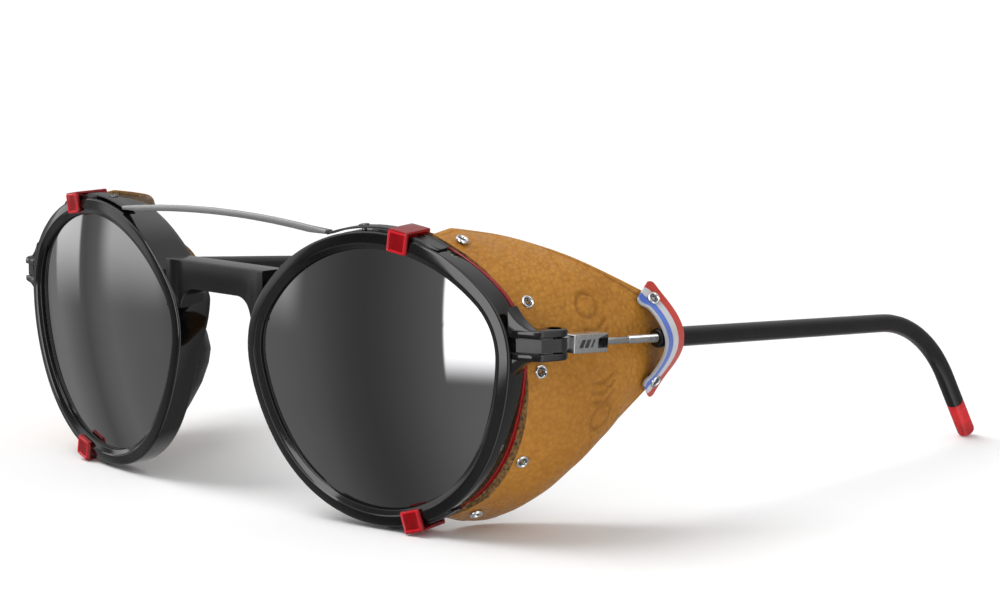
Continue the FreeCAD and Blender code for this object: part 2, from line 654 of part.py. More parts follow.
def make_temple_block(label, side, core):
    """Knuckle, neck and notched block that carries the temple wire."""
    body = new_body(label + "_blank", temple_frame(side))
    toe = math.radians(size("toe_angle"))
    pin_x = -side * size("block_offset") * math.cos(toe)
    pin_y = size("block_offset") * math.sin(toe)
    shoulder = size("lug_boss") + size("hinge_gap")
    pad(body, circle(new_sketch(body, label + "_knuckle"), (pin_x, pin_y), "Sizes.knuckle_radius"),
        "Sizes.knuckle_height", midplane=True)
    neck_half = size("knuckle_radius") * 0.6
    neck = polygon(new_sketch(body, label + "_neck"), [
        (pin_x - neck_half, pin_y), (pin_x + neck_half, pin_y),
        (pin_x + neck_half, shoulder + 1), (pin_x - neck_half, shoulder + 1)])
    pad(body, neck, "Sizes.knuckle_height", midplane=True)
    droop = math.radians(size("droop_angle"))
    tall = size("block_height") / 2
    slot = size("core_radius") + size("pin_fit")
    length = size("block_length")

    def on_side(back, high):
        """Point of the side view, back along the drooping axis and above it."""
        axis = on_axis(shoulder + back)
        return (axis.y + high * math.sin(droop), axis.z + high * math.cos(droop))

    notch = length - size("block_notch")
    view = new_sketch(body, label + "_side", "YZ_Plane")
    polygon(view, [on_side(0, -tall), on_side(length, -tall), on_side(length, -slot), on_side(notch, -slot),
                   on_side(notch, slot), on_side(length, slot), on_side(length, tall), on_side(0, tall)])
    pad(body, view, "Sizes.block_width", midplane=True)
    hole = circle(new_sketch(body, label + "_hole"), (pin_x, pin_y), "Sizes.pin_radius + Sizes.pin_fit")
    pocket_through(body, hole)
    return node(boolean("Part::Cut", label + "_body", (body, core)), label)


# ---------------------------------------------------------------- leather side shields
# each row: share of the leather's depth, then how far its top (out, high), its side (out, high) and its foot
# (out, high) have gone from their places at the front edge to those at the rear end
SHIELD_FORM = [
    (0.000, 0.000, 0.000, 0.000, 0.00, 0.000, 0.000),
    (0.114, 0.000, 0.028, 0.260, 0.10, 0.004, -0.030),
    (0.259, 0.006, 0.082, 0.528, 0.25, 0.126, -0.034),
    (0.404, 0.183, 0.159, 0.732, 0.45, 0.363, 0.128),
    (0.548, 0.500, 0.311, 0.875, 0.70, 0.637, 0.392),
    (0.693, 0.817, 0.533, 0.955, 1.10, 0.874, 0.671),
    (0.838, 0.990, 0.733, 0.985, 1.30, 0.985, 0.847),
    (0.939, 1.000, 0.867, 1.000, 1.15, 1.000, 0.916),
    (1.000, 1.000, 1.000, 1.000, 1.00, 1.000, 1.000),
]


def form_share(column, part):
    """Smooth value of a column of the leather's form at a share of its depth."""
    rows = SHIELD_FORM
    last = len(rows) - 1
    index = max(i for i in range(last) if i == 0 or part > rows[i][0])

    def slope(i):
        before, after = rows[max(i - 1, 0)], rows[min(i + 1, last)]
        return (after[column] - before[column]) / (after[0] - before[0])

    step = rows[index + 1][0] - rows[index][0]
    s = (part - rows[index][0]) / step
    return ((2 * s ** 3 - 3 * s ** 2 + 1) * rows[index][column] + (s ** 3 - 2 * s ** 2 + s) * step * slope(index)
            + (3 * s ** 2 - 2 * s ** 3) * rows[index + 1][column] + (s ** 3 - s ** 2) * step * slope(index + 1))


def shield_points(depth):
    """Top, side and foot of the leather's outer surface at a depth behind the lens plane."""
    start = shield_start()
    part = min(max((depth - start) / (size("shield_rear_depth") - start), 0.0), 1.0)

    def at(column, front, rear):
        return front + (rear - front) * form_share(column, part)

    rear_out = size("shield_rear_out")
    rear_high = (size("shield_rear_top") + size("shield_rear_bottom")) / 2
    top = V(at(1, size("shield_front_top_out"), rear_out),
            at(2, size("shield_front_top"), size("shield_rear_top")), 0)
    middle = V(at(3, size("shield_front_width"), rear_out + size("shield_rear_bulge")),
               at(4, size("shield_front_side_high"), rear_high), 0)
    foot = V(at(5, size("shield_front_bottom_out"), rear_out),
             at(6, size("shield_front_bottom"), size("shield_rear_bottom")), 0)
    return top, middle, foot


def carrier_back():
    """Depth of the carrier plate's back behind the lens plane, at the rim's edge."""
    return size("rim_depth") + size("carrier_gap") + size("carrier_thickness")


def shield_start():
    return carrier_back() + size("carrier_gap")


def shield_section(depth, inset):
    """Arc of the leather's section at a depth: its circle's centre, its inset radius and its bearing range."""
    top, middle, foot = shield_points(depth)
    round_edge = Part.Arc(top, middle, foot).toShape().Curve
    centre = round_edge.Center
    return centre, round_edge.Radius - inset, bearing(centre, top), bearing(centre, foot)


def shield_point(side, depth, share, inset=0.0):
    """Point on the leather in the lens frame; share runs from 0 at its top edge to 1 at its foot."""
    centre, radius, high, low = shield_section(depth, inset)
    angle = high + (low - high) * share
    return V(side * (centre.x + radius * math.cos(angle)), centre.y + radius * math.sin(angle), -depth)


def sheet_section(outer, inner):
    """Closed wire between an outer arc from top to foot and an inner arc back up."""
    return Part.Wire([Part.Arc(*outer).toShape(), Part.makeLine(outer[2], inner[0]),
                      Part.Arc(*inner).toShape(), Part.makeLine(inner[2], outer[0])])


def shield_loft(side, inset_out, inset_in):
    """Curved sheet between two insets of the leather's form."""
    start = shield_start()
    run = size("shield_rear_depth") - start
    sections = []
    for row in SHIELD_FORM:
        depth = start + run * row[0]
        outer = [shield_point(side, depth, share, inset_out) for share in (0.0, 0.5, 1.0)]
        inner = [shield_point(side, depth, share, inset_in) for share in (1.0, 0.5, 0.0)]
        sections.append(sheet_section(outer, inner))
    return Part.makeLoft(sections, True, False)


def shield_normal(side, depth, share):
    """Outward direction of the leather at a place, in the lens frame."""
    step = 0.3
    down = shield_point(side, depth, share + 0.02) - shield_point(side, depth, share - 0.02)
    back = shield_point(side, depth + step, share) - shield_point(side, depth - step, share)
    normal = back.cross(down).normalize()
    outward = shield_point(side, depth, share) - shield_point(side, depth, share, 1.0)
    return normal if normal.dot(outward) > 0 else normal * -1


# depth behind the carrier plate and share of the way from top to foot
SHIELD_RIVETS = [(1.4, 0.075), (3.6, 0.292), (2.32, 0.467), (1.5, 0.706), (1.79, 0.919)]


def rivet_shape(shank_length):
    """Hollow rivet along +Z: head, shank and rolled back, its head's underside at the origin."""
    head = size("rivet_head_height")
    outer = size("rivet_radius")
    shank = size("rivet_shank")
    bore = shank / 2
    soft = head * size("rivet_soft")
    rolled = outer * size("rivet_roll")
    low = -shank_length
    profile = [V(bore, 0, low - head), V(rolled, 0, low - head), V(rolled, 0, low), V(shank, 0, low),
               V(shank, 0, 0), V(outer, 0, 0), V(outer, 0, head - soft), V(outer - soft, 0, head),
               V(bore, 0, head), V(bore, 0, low - head)]
    return Part.Face(Part.makePolygon(profile)).revolve(V(0, 0, 0), V(0, 0, 1), 360)


def shank_shape(shank_length, radius, beyond):
    return Part.makeCylinder(radius, shank_length + 2 * beyond, V(0, 0, -shank_length - beyond))


def rivet_seat(shank_length):
    """Room for a rivet in what it holds: its shank, and its head where the surface curves up to it."""
    head = Part.makeCylinder(size("rivet_radius"), size("rivet_seat_room"))
    return head.fuse(shank_shape(shank_length, size("rivet_shank"), size("rivet_seat_room")))


def aim(point, direction):
    return FreeCAD.Placement(point, FreeCAD.Rotation(V(0, 0, 1), direction))


def shield_rivet_places(side):
    places = []
    for behind, share in SHIELD_RIVETS:
        depth = carrier_back() + behind
        places.append(aim(shield_point(side, depth, share), shield_normal(side, depth, share)))
    return places


def ribbon_line():
    """The ribbon's middle in the temple frame from top end to lower end: back, high and out where it is set."""
    low = size("ribbon_low")
    end_back, end_high = size("ribbon_end_back"), size("ribbon_end_high")
    rivet_back, rivet_high = size("ribbon_rivet_back"), size("ribbon_rivet_high")
    over = size("sleeve_radius") + size("ribbon_clearance") + size("ribbon_thickness") / 2
    return [(end_back, end_high - low, None), (rivet_back, rivet_high - low, None),
            (size("ribbon_middle_back"), 0.0, over),
            (rivet_back, -rivet_high - low, None), (end_back, -end_high - low, None)]


def leather_out(side, back, high):
    """How far outside the temple's axis the leather's outer face lies at a place beside the temple."""
    temple = temple_frame(side)
    lens_inverse = lens_frame(side).inverse()
    out = 0.0
    for _ in range(12):
        axis = on_axis(back)
        local = lens_inverse.multVec(temple.multVec(V(side * out, back, axis.z + high)))
        centre, radius, _, _ = shield_section(-local.z, 0.0)
        reach = centre.x + math.sqrt(max(radius ** 2 - (local.y - centre.y) ** 2, 0.0))
        out += reach - side * local.x
    return out


def ribbon_points(side):
    above = size("ribbon_clearance") + size("ribbon_thickness") / 2
    points = []
    for back, high, out in ribbon_line():
        if out is None:
            out = leather_out(side, back, high) + above
        axis = on_axis(back)
        points.append(V(side * out, back, axis.z + high))
    return points


def make_ribbon(label, side, rivets):
    """Woven ribbon riveted above and below the temple and passing outside it."""
    curve = Part.BSplineCurve()
    curve.interpolate(ribbon_points(side))
    half = size("ribbon_width") / 2
    thick = size("ribbon_thickness") / 2
    sections = []
    for step in range(9):
        place = curve.FirstParameter + (curve.LastParameter - curve.FirstParameter) * step / 8
        middle = curve.value(place)
        along = curve.tangent(place)[0]
        across = along.cross(V(1, 0, 0)).normalize()
        outward = across.cross(along).normalize()
        corners = [middle + across * half * i + outward * thick * j for i, j in ((1, 1), (-1, 1), (-1, -1), (1, -1))]
        sections.append(Part.makePolygon(corners + corners[:1]))
    strip = Part.makeLoft(sections, True, False)
    for place in rivets:
        hole = rivet_seat(ribbon_rivet_grip())
        hole.Placement = place
        strip = strip.cut(hole)
    return node(feature(label + "_body", strip, temple_frame(side)), label)


def ribbon_rivet_places(side):
    """Rivets through the ribbon's two ends, square to it, in the temple frame."""
    points = ribbon_points(side)
    raise_by = size("ribbon_thickness") / 2 + 0.02
    places = []
    for index in (1, 3):
        along = (points[index + 1] - points[index - 1]).normalize()
        across = along.cross(V(1, 0, 0)).normalize()
        outward = across.cross(along).normalize()
        outward = outward if outward.x * side > 0 else outward * -1
        places.append(aim(points[index] + outward * raise_by, outward))
    return places


def ribbon_rivet_grip():
    gaps = size("ribbon_clearance") + size("ribbon_rivet_slack")
    return size("ribbon_thickness") + size("leather_thickness") + gaps


def make_group(label, shape, places, frame):
    """Identical fasteners as one node of separate solids."""
    copies = []
    for place in places:
        copy = shape.copy()
        copy.Placement = place
        copies.append(copy)
    return node(feature(label + "_group", Part.makeCompound(copies), frame), label)


def make_leather(label, side):
    """Leather shield with a hole for each rivet, wider where the ribbon's rivets pass."""
    sheet = shield_loft(side, 0.0, size("leather_thickness"))
    for place in shield_rivet_places(side):
        hole = rivet_seat(rivet_grip())
        hole.Placement = place
        sheet = sheet.cut(hole)
    change = lens_frame(side).inverse().multiply(temple_frame(side))
    for place in ribbon_rivet_places(side):
        hole = shank_shape(ribbon_rivet_grip(), size("rivet_shank") + size("rivet_clearance"), 2.0)
        hole.Placement = change.multiply(place)
        sheet = sheet.cut(hole)
    return node(feature(label + "_body", sheet, lens_frame(side)), label)


# ---------------------------------------------------------------- clip-on carriers, pads and bar
def edge_arc(upper):
    """Centre and radius of the brow arc or the lower arc, as distances outwards and above the lens centre."""
    radius = size("arc_top") if upper else size("arc_bottom")
    middle = size("rim_top") - radius if upper else radius - size("rim_bottom")
    lean = math.radians(size("lean_angle"))
    return -math.sin(lean) * middle, math.cos(lean) * middle, radius


def rim_edge(out, upper):
    """Height of the rim outline above the lens centre at a distance outwards."""
    centre_x, centre_y, radius = edge_arc(upper)
    rise = math.sqrt(radius ** 2 - (out - centre_x) ** 2)
    return centre_y + rise if upper else centre_y - rise


def box(name, side, low, high, extra=None):
    """Box between two corners of the lens frame, optionally turned about a local placement."""
    solid = DOC.addObject("Part::Box", name)
    solid.Length = high[0] - low[0]
    solid.Width = high[1] - low[1]
    solid.Height = high[2] - low[2]
    local = FreeCAD.Placement(V(*low), FreeCAD.Rotation())
    frame = lens_frame(side)
    if extra is not None:
        frame = frame.multiply(extra)
    solid.Placement = frame.multiply(local)
    return solid


def hook(name, side, upper):
    """Three walls that grip the rim and its rubber: over the face, across the edge, down the back."""
    out = size("top_hook_out") if upper else size("bottom_hook_out")
    turn = size("top_hook_turn") if upper else size("bottom_hook_turn") + 180
    edge = rim_edge(out, upper)
    local = FreeCAD.Placement(V(side * out, edge, 0), FreeCAD.Rotation(V(0, 0, 1), side * turn))
    half = size("hook_width") / 2
    wall = size("hook_wall")
    over = size("hook_rubber")
    crown = face_sag() - (out ** 2 + edge ** 2) / (2 * size("face_sphere"))
    front = crown + size("hook_face_gap")
    back = -carrier_back()
    reach = size("hook_reach")
    face_wall = box(name + "_face", side, (-half, -reach, front), (half, over + wall, front + wall), local)
    edge_wall = box(name + "_edge", side, (-half, over, back), (half, over + wall, front + wall), local)
    back_wall = box(name + "_back", side, (-half, -reach, back), (half, over + wall, back + wall + 0.15), local)
    return [face_wall, edge_wall, back_wall]


def edge_band(name, side, inner_text, outer_text, low, high):
    """Band that lies along the rim's outer edge between two corners of the lens frame."""
    prism = outline_prism(name + "_prism", side, outer_text, hole_inset=inner_text)
    return boolean("Part::MultiCommon", name, [prism, box(name + "_range", side, low, high)])


def hook_range(side, upper):
    out = size("top_hook_out") if upper else size("bottom_hook_out")
    reach = size("hook_width") / 2 + size("rubber_beyond")
    return sorted((side * (out - reach), side * (out + reach)))


def make_rubber(label, side, upper):
    """Rubber strip between a hook and the rim's edge."""
    left, right = hook_range(side, upper)
    back = -(size("rim_depth") + size("rubber_width")) / 2
    ends = (2.0, 40.0) if upper else (-40.0, -2.0)
    band = edge_band(label + "_body", side, "0", "-Sizes.hook_rubber", (left, ends[0], back),
                     (right, ends[1], back + size("rubber_width")))
    return node(band, label)


def make_carrier(label, side):
    """Clip-on carrier: plate behind the rim, flange under the leather, and two hooks, all one moulding."""
    ring_prism = outline_prism(label + "_ring", side, "0", hole_inset="Sizes.carrier_width")
    back = "Sizes.rim_depth + Sizes.carrier_gap"
    ring_shell = face_shell(label + "_shell", side, back, back + " + Sizes.carrier_thickness")
    inner = size("top_hook_out") - size("hook_width") / 2
    left, right = sorted((side * inner, side * 60.0))
    region = box(label + "_region", side, (left, -60.0, -60.0), (right, 60.0, 60.0))
    ring = boolean("Part::MultiCommon", label + "_plate", [ring_prism, ring_shell, region])
    gap = size("leather_thickness") + size("leather_seat")
    base = carrier_back() - size("carrier_thickness")
    start = shield_start()
    run = carrier_back() + size("flange_depth") - start
    depths = [base] + [start + run * step / 3 for step in range(4)]
    flange_shape = flange_loft(side, depths, gap, gap + size("flange_thickness"))
    flange = feature(label + "_flange", flange_shape, lens_frame(side))
    notch = box(label + "_notch", side, (-60.0, size("flange_gap_low"), -60.0),
                (60.0, size("flange_gap_high"), -carrier_back() - 0.01))
    tabs = boolean("Part::Cut", label + "_tabs", (flange, notch))
    pieces = [ring, tabs] + hook(label + "_top_hook", side, True) + hook(label + "_lower_hook", side, False)
    whole = boolean("Part::MultiFuse", label + "_blank", pieces)
    keep_prism = outline_prism(label + "_keep", side, "-Sizes.hook_rubber")
    keep_shell = face_shell(label + "_keep_shell", side, "-Sizes.hook_face_gap", back)
    keep = boolean("Part::MultiCommon", label + "_keep_out", [keep_prism, keep_shell])
    return boolean("Part::Cut", label + "_clear", (whole, keep))


def flange_loft(side, depths, inset_out, inset_in):
    """The flange follows the leather, and starts inside the carrier plate at the leather's front form."""
    first = size("flange_end_share")
    shares = (first, 0.5, 1 - first)
    sections = []
    for depth in depths:
        form = max(depth, shield_start())
        outer = [shield_point(side, form, share, inset_out) for share in shares]
        inner = [shield_point(side, form, share, inset_in) for share in reversed(shares)]
        for point in outer + inner:
            point.z = -depth
        sections.append(sheet_section(outer, inner))
    return Part.makeLoft(sections, True, True)


def finish_carrier(label, side, blank):
    """Holes of the carrier's flange for the leather's rivets."""
    shape = blank.Shape.copy()
    frame = lens_frame(side)
    for place in shield_rivet_places(side):
        hole = shank_shape(rivet_grip(), size("rivet_shank"), 0.5)
        hole.Placement = frame.multiply(place)
        shape = shape.cut(hole)
        seat = Part.makeCylinder(size("rivet_radius"), 4.0, V(0, 0, -rivet_grip()), V(0, 0, -1))
        seat.Placement = frame.multiply(place)
        shape = shape.cut(seat)
    return node(feature(label + "_body", shape), label)


def rivet_grip():
    return size("leather_thickness") + size("leather_seat") + size("flange_thickness")


def bar_foot(name, side):
    start = size("bar_foot_start")
    stop = size("top_hook_out") - size("hook_width") / 2 - 0.1
    left, right = sorted((side * -start, side * stop))
    back = -(size("rim_depth") + size("bar_foot_width")) / 2
    return edge_band(name, side, "-Sizes.hook_rubber", "-(Sizes.hook_rubber + Sizes.bar_foot_thickness)",
                     (left, 2.0, back), (right, 40.0, back + size("bar_foot_width")))


def make_bar():
    """Steel bar over the bridge with a flat foot on each brow."""
    body = new_body("clip_bar_arch")
    front = FreeCAD.Placement(V(0, 0, -size("bar_front")), FreeCAD.Rotation())
    sketch = new_sketch(body, "clip_bar_face", "XZ_Plane", front)
    span = size("bar_half_span")
    rise = size("bar_rise")
    ends = size("bar_end_high")
    tall = size("bar_height")
    upper = [V(-span, ends, 0), V(0, rise, 0), V(span, ends, 0)]
    lower = [point - V(0, tall, 0) for point in upper]
    sketch.addGeometry(Part.Arc(*upper))
    sketch.addGeometry(Part.LineSegment(upper[2], lower[2]))
    sketch.addGeometry(Part.Arc(*reversed(lower)))
    sketch.addGeometry(Part.LineSegment(lower[0], upper[0]))
    pad(body, sketch, "Sizes.bar_thickness", reverse=True)
    feet = [bar_foot("clip_bar_foot_" + word, side) for word, side in SIDES.items()]
    whole = boolean("Part::MultiFuse", "clip_bar_whole", [body] + feet)
    shape = whole.Shape.copy()
    for side in SIDES.values():
        hole = shank_shape(3.0, size("bar_screw_radius"), 3.0)
        hole.Placement = bar_screw_place(side)
        shape = shape.cut(hole)
    return node(feature("clip_bar_body", shape), "clip_bar")


def bar_screw_place(side):
    """Place of the screw's head underside, on top of the bar's foot."""
    out = -size("bar_screw_out")
    centre_x, centre_y, _ = edge_arc(True)
    foot = V(side * out, rim_edge(out, True), -size("rim_depth") / 2)
    up = V(side * (out - centre_x), foot.y - centre_y, 0).normalize()
    place = foot + up * (size("hook_rubber") + size("bar_foot_thickness"))
    return lens_frame(side).multiply(aim(place, up))


def make_bar_screw(label, side):
    """Screw that holds the bar's foot to the rubber's core."""
    head = Part.makeCylinder(size("bar_screw_head"), size("bar_foot_thickness"), V(0, 0, size("bar_screw_seat")))
    shank = Part.makeCylinder(size("bar_screw_radius"), size("bar_screw_length"), V(0, 0, -size("bar_screw_length")))
    shank = shank.fuse(Part.makeCylinder(size("bar_screw_radius"), size("bar_screw_seat")))
    return node(feature(label + "_body", head.fuse(shank), bar_screw_place(side)), label)


# ---------------------------------------------------------------- assembly
PLATES = [make_hinge_plate("hinge_plate_" + word, side) for word, side in SIDES.items()]
FRONT = make_front(PLATES)
for word, side in SIDES.items():
    make_lens("lens_" + word, side)
    make_nose_pad("nose_pad_" + word, side, FRONT)
    make_hinge_screw("hinge_screw_" + word, side)
    core = make_temple_core("temple_core_" + word, side)
    make_temple_block("temple_block_" + word, side, core)
    make_temple_sleeve("temple_sleeve_" + word, side, core)
    make_temple_tip("temple_tip_" + word, side, core)
    make_leather("leather_shield_" + word, side)
    make_group("shield_rivets_" + word, rivet_shape(rivet_grip()), shield_rivet_places(side), lens_frame(side))
    ribbon_places = ribbon_rivet_places(side)
    make_ribbon("ribbon_" + word, side, ribbon_places)
    make_group("ribbon_rivets_" + word, rivet_shape(ribbon_rivet_grip()), ribbon_places, temple_frame(side))
    finish_carrier("clip_carrier_" + word, side, make_carrier("carrier_" + word, side))
    make_rubber("clip_rubber_top_" + word, side, True)
    make_rubber("clip_rubber_bottom_" + word, side, False)
    make_bar_screw("bar_screw_" + word, side)
make_bar()
DOC.recompute()

# ---------------------------------------------------------------- origin under the middle of the whole
bounds = FreeCAD.BoundBox()
for item in NODES:
    bounds.add(item.Shape.optimalBoundingBox(False, False))
SHIFT = V(0, -(bounds.YMin + bounds.YMax) / 2, -bounds.ZMin)

for item in DOC.Objects:
    if "Invalid" in item.State or "Error" in item.State:
        raise RuntimeError(f"{item.Name} failed: {item.State}")
os.makedirs("parts", exist_ok=True)
for item in NODES:
    if item.Shape.isNull() or not item.Shape.isValid():
        raise RuntimeError(f"{item.Label} has no valid shape")
    item.Placement = FreeCAD.Placement(SHIFT, FreeCAD.Rotation()).multiply(item.Placement)
    print(f"{item.Label}: {len(item.Shape.Solids)} solid, {item.Shape.Volume:.1f} mm3")
    item.Shape.exportStep(f"parts/{item.Label}.step")
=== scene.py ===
"""Looks of the glacier glasses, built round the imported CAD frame.

Lengths are in millimetres until world() turns them into the row frame's metres. In these millimetres the
middle of the bridge's front is at x = 0, y = 0, and z = 0 is 0.9 mm above the floor.
"""

import math

import bmesh
import bpy
import numpy as np
from mathutils import Matrix, Vector, noise

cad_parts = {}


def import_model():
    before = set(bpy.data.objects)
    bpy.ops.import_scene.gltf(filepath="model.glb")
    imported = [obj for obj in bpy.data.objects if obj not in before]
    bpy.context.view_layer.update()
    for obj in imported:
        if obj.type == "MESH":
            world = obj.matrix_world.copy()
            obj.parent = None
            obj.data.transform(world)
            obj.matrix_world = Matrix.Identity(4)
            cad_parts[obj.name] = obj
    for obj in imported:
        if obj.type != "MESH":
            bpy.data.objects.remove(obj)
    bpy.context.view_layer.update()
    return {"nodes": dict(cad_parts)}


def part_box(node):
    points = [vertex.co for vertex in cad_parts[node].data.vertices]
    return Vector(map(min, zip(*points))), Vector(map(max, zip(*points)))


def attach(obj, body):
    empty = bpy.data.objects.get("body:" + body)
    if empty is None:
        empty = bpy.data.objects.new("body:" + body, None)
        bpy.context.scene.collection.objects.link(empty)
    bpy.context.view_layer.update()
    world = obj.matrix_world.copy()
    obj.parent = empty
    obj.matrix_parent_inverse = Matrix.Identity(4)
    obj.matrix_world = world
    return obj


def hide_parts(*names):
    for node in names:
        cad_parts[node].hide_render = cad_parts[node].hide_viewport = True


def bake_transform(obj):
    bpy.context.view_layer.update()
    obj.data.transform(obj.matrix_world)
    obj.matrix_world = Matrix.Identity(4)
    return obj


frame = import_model()

MM = 0.001
SIDES = {"left": 1, "right": -1}
PIN = np.array([65.4, 12.2, 31.9])
LUG_HEIGHT = 4.9
SCREW_LOW, SCREW_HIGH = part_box("hinge_screw_left")
SHIFT = np.array([0.0, (SCREW_LOW.y + SCREW_HIGH.y) / 2 / MM - PIN[1],
                  SCREW_LOW.z / MM - (PIN[2] - LUG_HEIGHT / 2)])

# lens planes and rim outline
LENS_CENTRE = (35.5, 2.3, 24.2)
WRAP = math.radians(8.85)
TILT = math.radians(2.1)
LEAN = math.radians(5.7)
HALF_WIDTH, RIM_TOP, RIM_BOTTOM = 26.66, 23.8, 24.5
ARC_TOP, ARC_SHOULDER, ARC_CHEEK, ARC_BOTTOM = 30.7, 14.4, 36.8, 25.3
FACE_SPHERE = 115.0
RIM_DEPTH = 4.2
SHARP_EDGE = math.radians(32.0)
SAG = HALF_WIDTH ** 2 / (2 * FACE_SPHERE)
# temples
TOE = math.radians(2.5)
DROOP = math.radians(4.6)
STEEP = DROOP + math.radians(50.0)
TEMPLE_OFFSET = 0.85
SLEEVE_START, SLEEVE_RADIUS = 24.6, 1.65
BEND_START, BEND_RADIUS, END_LENGTH, TIP_LENGTH = 91.5, 31.0, 14.4, 8.0
# leather
LEATHER = 1.0
CARRIER_BACK = 4.95
SHIELD_START, SHIELD_END = 5.05, 39.6
# depth behind the carrier and share of the way from the leather's top to its foot
RIVETS = [(1.4, 0.075), (3.6, 0.292), (2.32, 0.467), (1.5, 0.706), (1.79, 0.919)]
SHIELD_TOP = ((8.8, 24.4), (32.9, 5.0))
SHIELD_SIDE = ((26.3, 1.0), (33.1, 3.0))
SHIELD_FOOT = ((9.8, -23.9), (32.9, 1.0))
# share of the leather's depth, then shares of the way from front to rear:
# top out, top high, side out, side high, foot out, foot high
SHIELD_FORM = [
    (0.000, 0.000, 0.000, 0.000, 0.00, 0.000, 0.000),
    (0.114, 0.000, 0.028, 0.260, 0.10, 0.004, -0.030),
    (0.259, 0.006, 0.082, 0.528, 0.25, 0.126, -0.034),
    (0.404, 0.183, 0.159, 0.732, 0.45, 0.363, 0.128),
    (0.548, 0.500, 0.311, 0.875, 0.70, 0.637, 0.392),
    (0.693, 0.817, 0.533, 0.955, 1.10, 0.874, 0.671),
    (0.838, 0.990, 0.733, 0.985, 1.30, 0.985, 0.847),
    (0.939, 1.000, 0.867, 1.000, 1.15, 1.000, 0.916),
    (1.000, 1.000, 1.000, 1.000, 1.00, 1.000, 1.000),
]


def world(points):
    """Row-frame metres of points in the script's millimetres."""
    return (np.asarray(points, float) + SHIFT) * MM


# ---------------------------------------------------------------- frames of reference
def lens_axes(side):
    """Directions outwards along X, up the lens and ahead of it."""
    out = np.array([math.cos(WRAP), side * math.sin(WRAP), 0.0])
    level = np.array([side * math.sin(WRAP), -math.cos(WRAP), 0.0])
    up = np.array([0.0, 0.0, 1.0]) * math.cos(TILT) + level * math.sin(TILT)
    ahead = level * math.cos(TILT) - np.array([0.0, 0.0, 1.0]) * math.sin(TILT)
    return out, up, ahead


def lens_centre(side):
    return np.array([side * LENS_CENTRE[0], LENS_CENTRE[1], LENS_CENTRE[2]])


def from_lens(side, points):
    """Points of the lens frame: x along the row's X, y up, z forwards."""
    points = np.asarray(points, float)
    out, up, ahead = lens_axes(side)
    return lens_centre(side) + points[..., :1] * out + points[..., 1:2] * up + points[..., 2:3] * ahead


def from_temple(side, points):
    """Points of the temple frame: x along the row's X before the toe-in, y along the temple, z up."""
    points = np.asarray(points, float)
    cos, sin = math.cos(TOE), math.sin(TOE) * side
    x, y, z = points[..., 0], points[..., 1], points[..., 2]
    start = np.array([side * (PIN[0] + TEMPLE_OFFSET), PIN[1], PIN[2]])
    return start + np.stack([x * cos - y * sin, x * sin + y * cos, z], -1)


def face_height(x, y, depth):
    """Height of the sphere that lies a depth behind the rim's front surface."""
    radius = FACE_SPHERE - depth
    return SAG - FACE_SPHERE + np.sqrt(radius ** 2 - x ** 2 - y ** 2)


# ---------------------------------------------------------------- mesh helpers
def make(name, shells, body, materials, replaces):
    """One mesh piece from shells of (points in mm, faces, material index) that rides on a body."""
    verts, faces, marks = [], [], []
    for points, shell_faces, mark in shells:
        base = len(verts)
        verts.extend(map(tuple, world(points)))
        faces.extend(tuple(base + i for i in face) for face in shell_faces)
        marks.extend([mark] * len(shell_faces))
    mesh = bpy.data.meshes.new(name)
    mesh.from_pydata(verts, [], faces)
    mesh.polygons.foreach_set("material_index", marks)
    work = bmesh.new()
    work.from_mesh(mesh)
    bmesh.ops.remove_doubles(work, verts=work.verts, dist=1e-7)
    bmesh.ops.recalc_face_normals(work, faces=work.faces)
    for edge in work.edges:
        edge.smooth = len(edge.link_faces) == 2 and edge.calc_face_angle(0.0) < SHARP_EDGE
    for face in work.faces:
        face.smooth = True
    work.to_mesh(mesh)
    work.free()
    piece = placed_object(name, mesh)
    for look in materials:
        mesh.materials.append(look)
    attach(piece, body)
    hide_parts(replaces)
    return piece


def placed_object(name, data):
    item = bpy.data.objects.new(name, data)
    bpy.context.scene.collection.objects.link(item)
    return item


def point_values(mesh, key, values):
    """Number on each point of a mesh that its material reads."""
    data = mesh.attributes.new(key, "FLOAT", "POINT").data
    data.foreach_set("value", np.asarray(values, np.float32).reshape(-1))


def skin(rings, loop=False):
    """Points and faces over rings of equally many points; the ends are capped, or joined by loop."""
    rings = np.asarray(rings, float)
    count, each = rings.shape[:2]
    faces = []
    for i in range(count if loop else count - 1):
        k = (i + 1) % count
        for j in range(each):
            n = (j + 1) % each
            faces.append((i * each + j, i * each + n, k * each + n, k * each + j))
    if not loop:
        faces.append(tuple(range(each)))
        faces.append(tuple((count - 1) * each + j for j in range(each)))
    return rings.reshape(-1, 3), faces


def rounded(corners, radius, steps=4):
    """Closed outline with its corners rounded; a corner may carry its own radius as a third number."""
    corners = [tuple(c) for c in corners]
    result = []
    for i, corner in enumerate(corners):
        here = np.array(corner[:2], float)
        before = np.array(corners[i - 1][:2], float) - here
        after = np.array(corners[(i + 1) % len(corners)][:2], float) - here
        own = corner[2] if len(corner) > 2 else radius
        reach_a = min(own, 0.48 * np.linalg.norm(before))
        reach_b = min(own, 0.48 * np.linalg.norm(after))
        start = here + before / max(np.linalg.norm(before), 1e-9) * reach_a
        stop = here + after / max(np.linalg.norm(after), 1e-9) * reach_b
        for k in range(steps + 1):
            t = k / steps
            result.append((1 - t) ** 2 * start + 2 * t * (1 - t) * here + t * t * stop)
    return np.array(result)


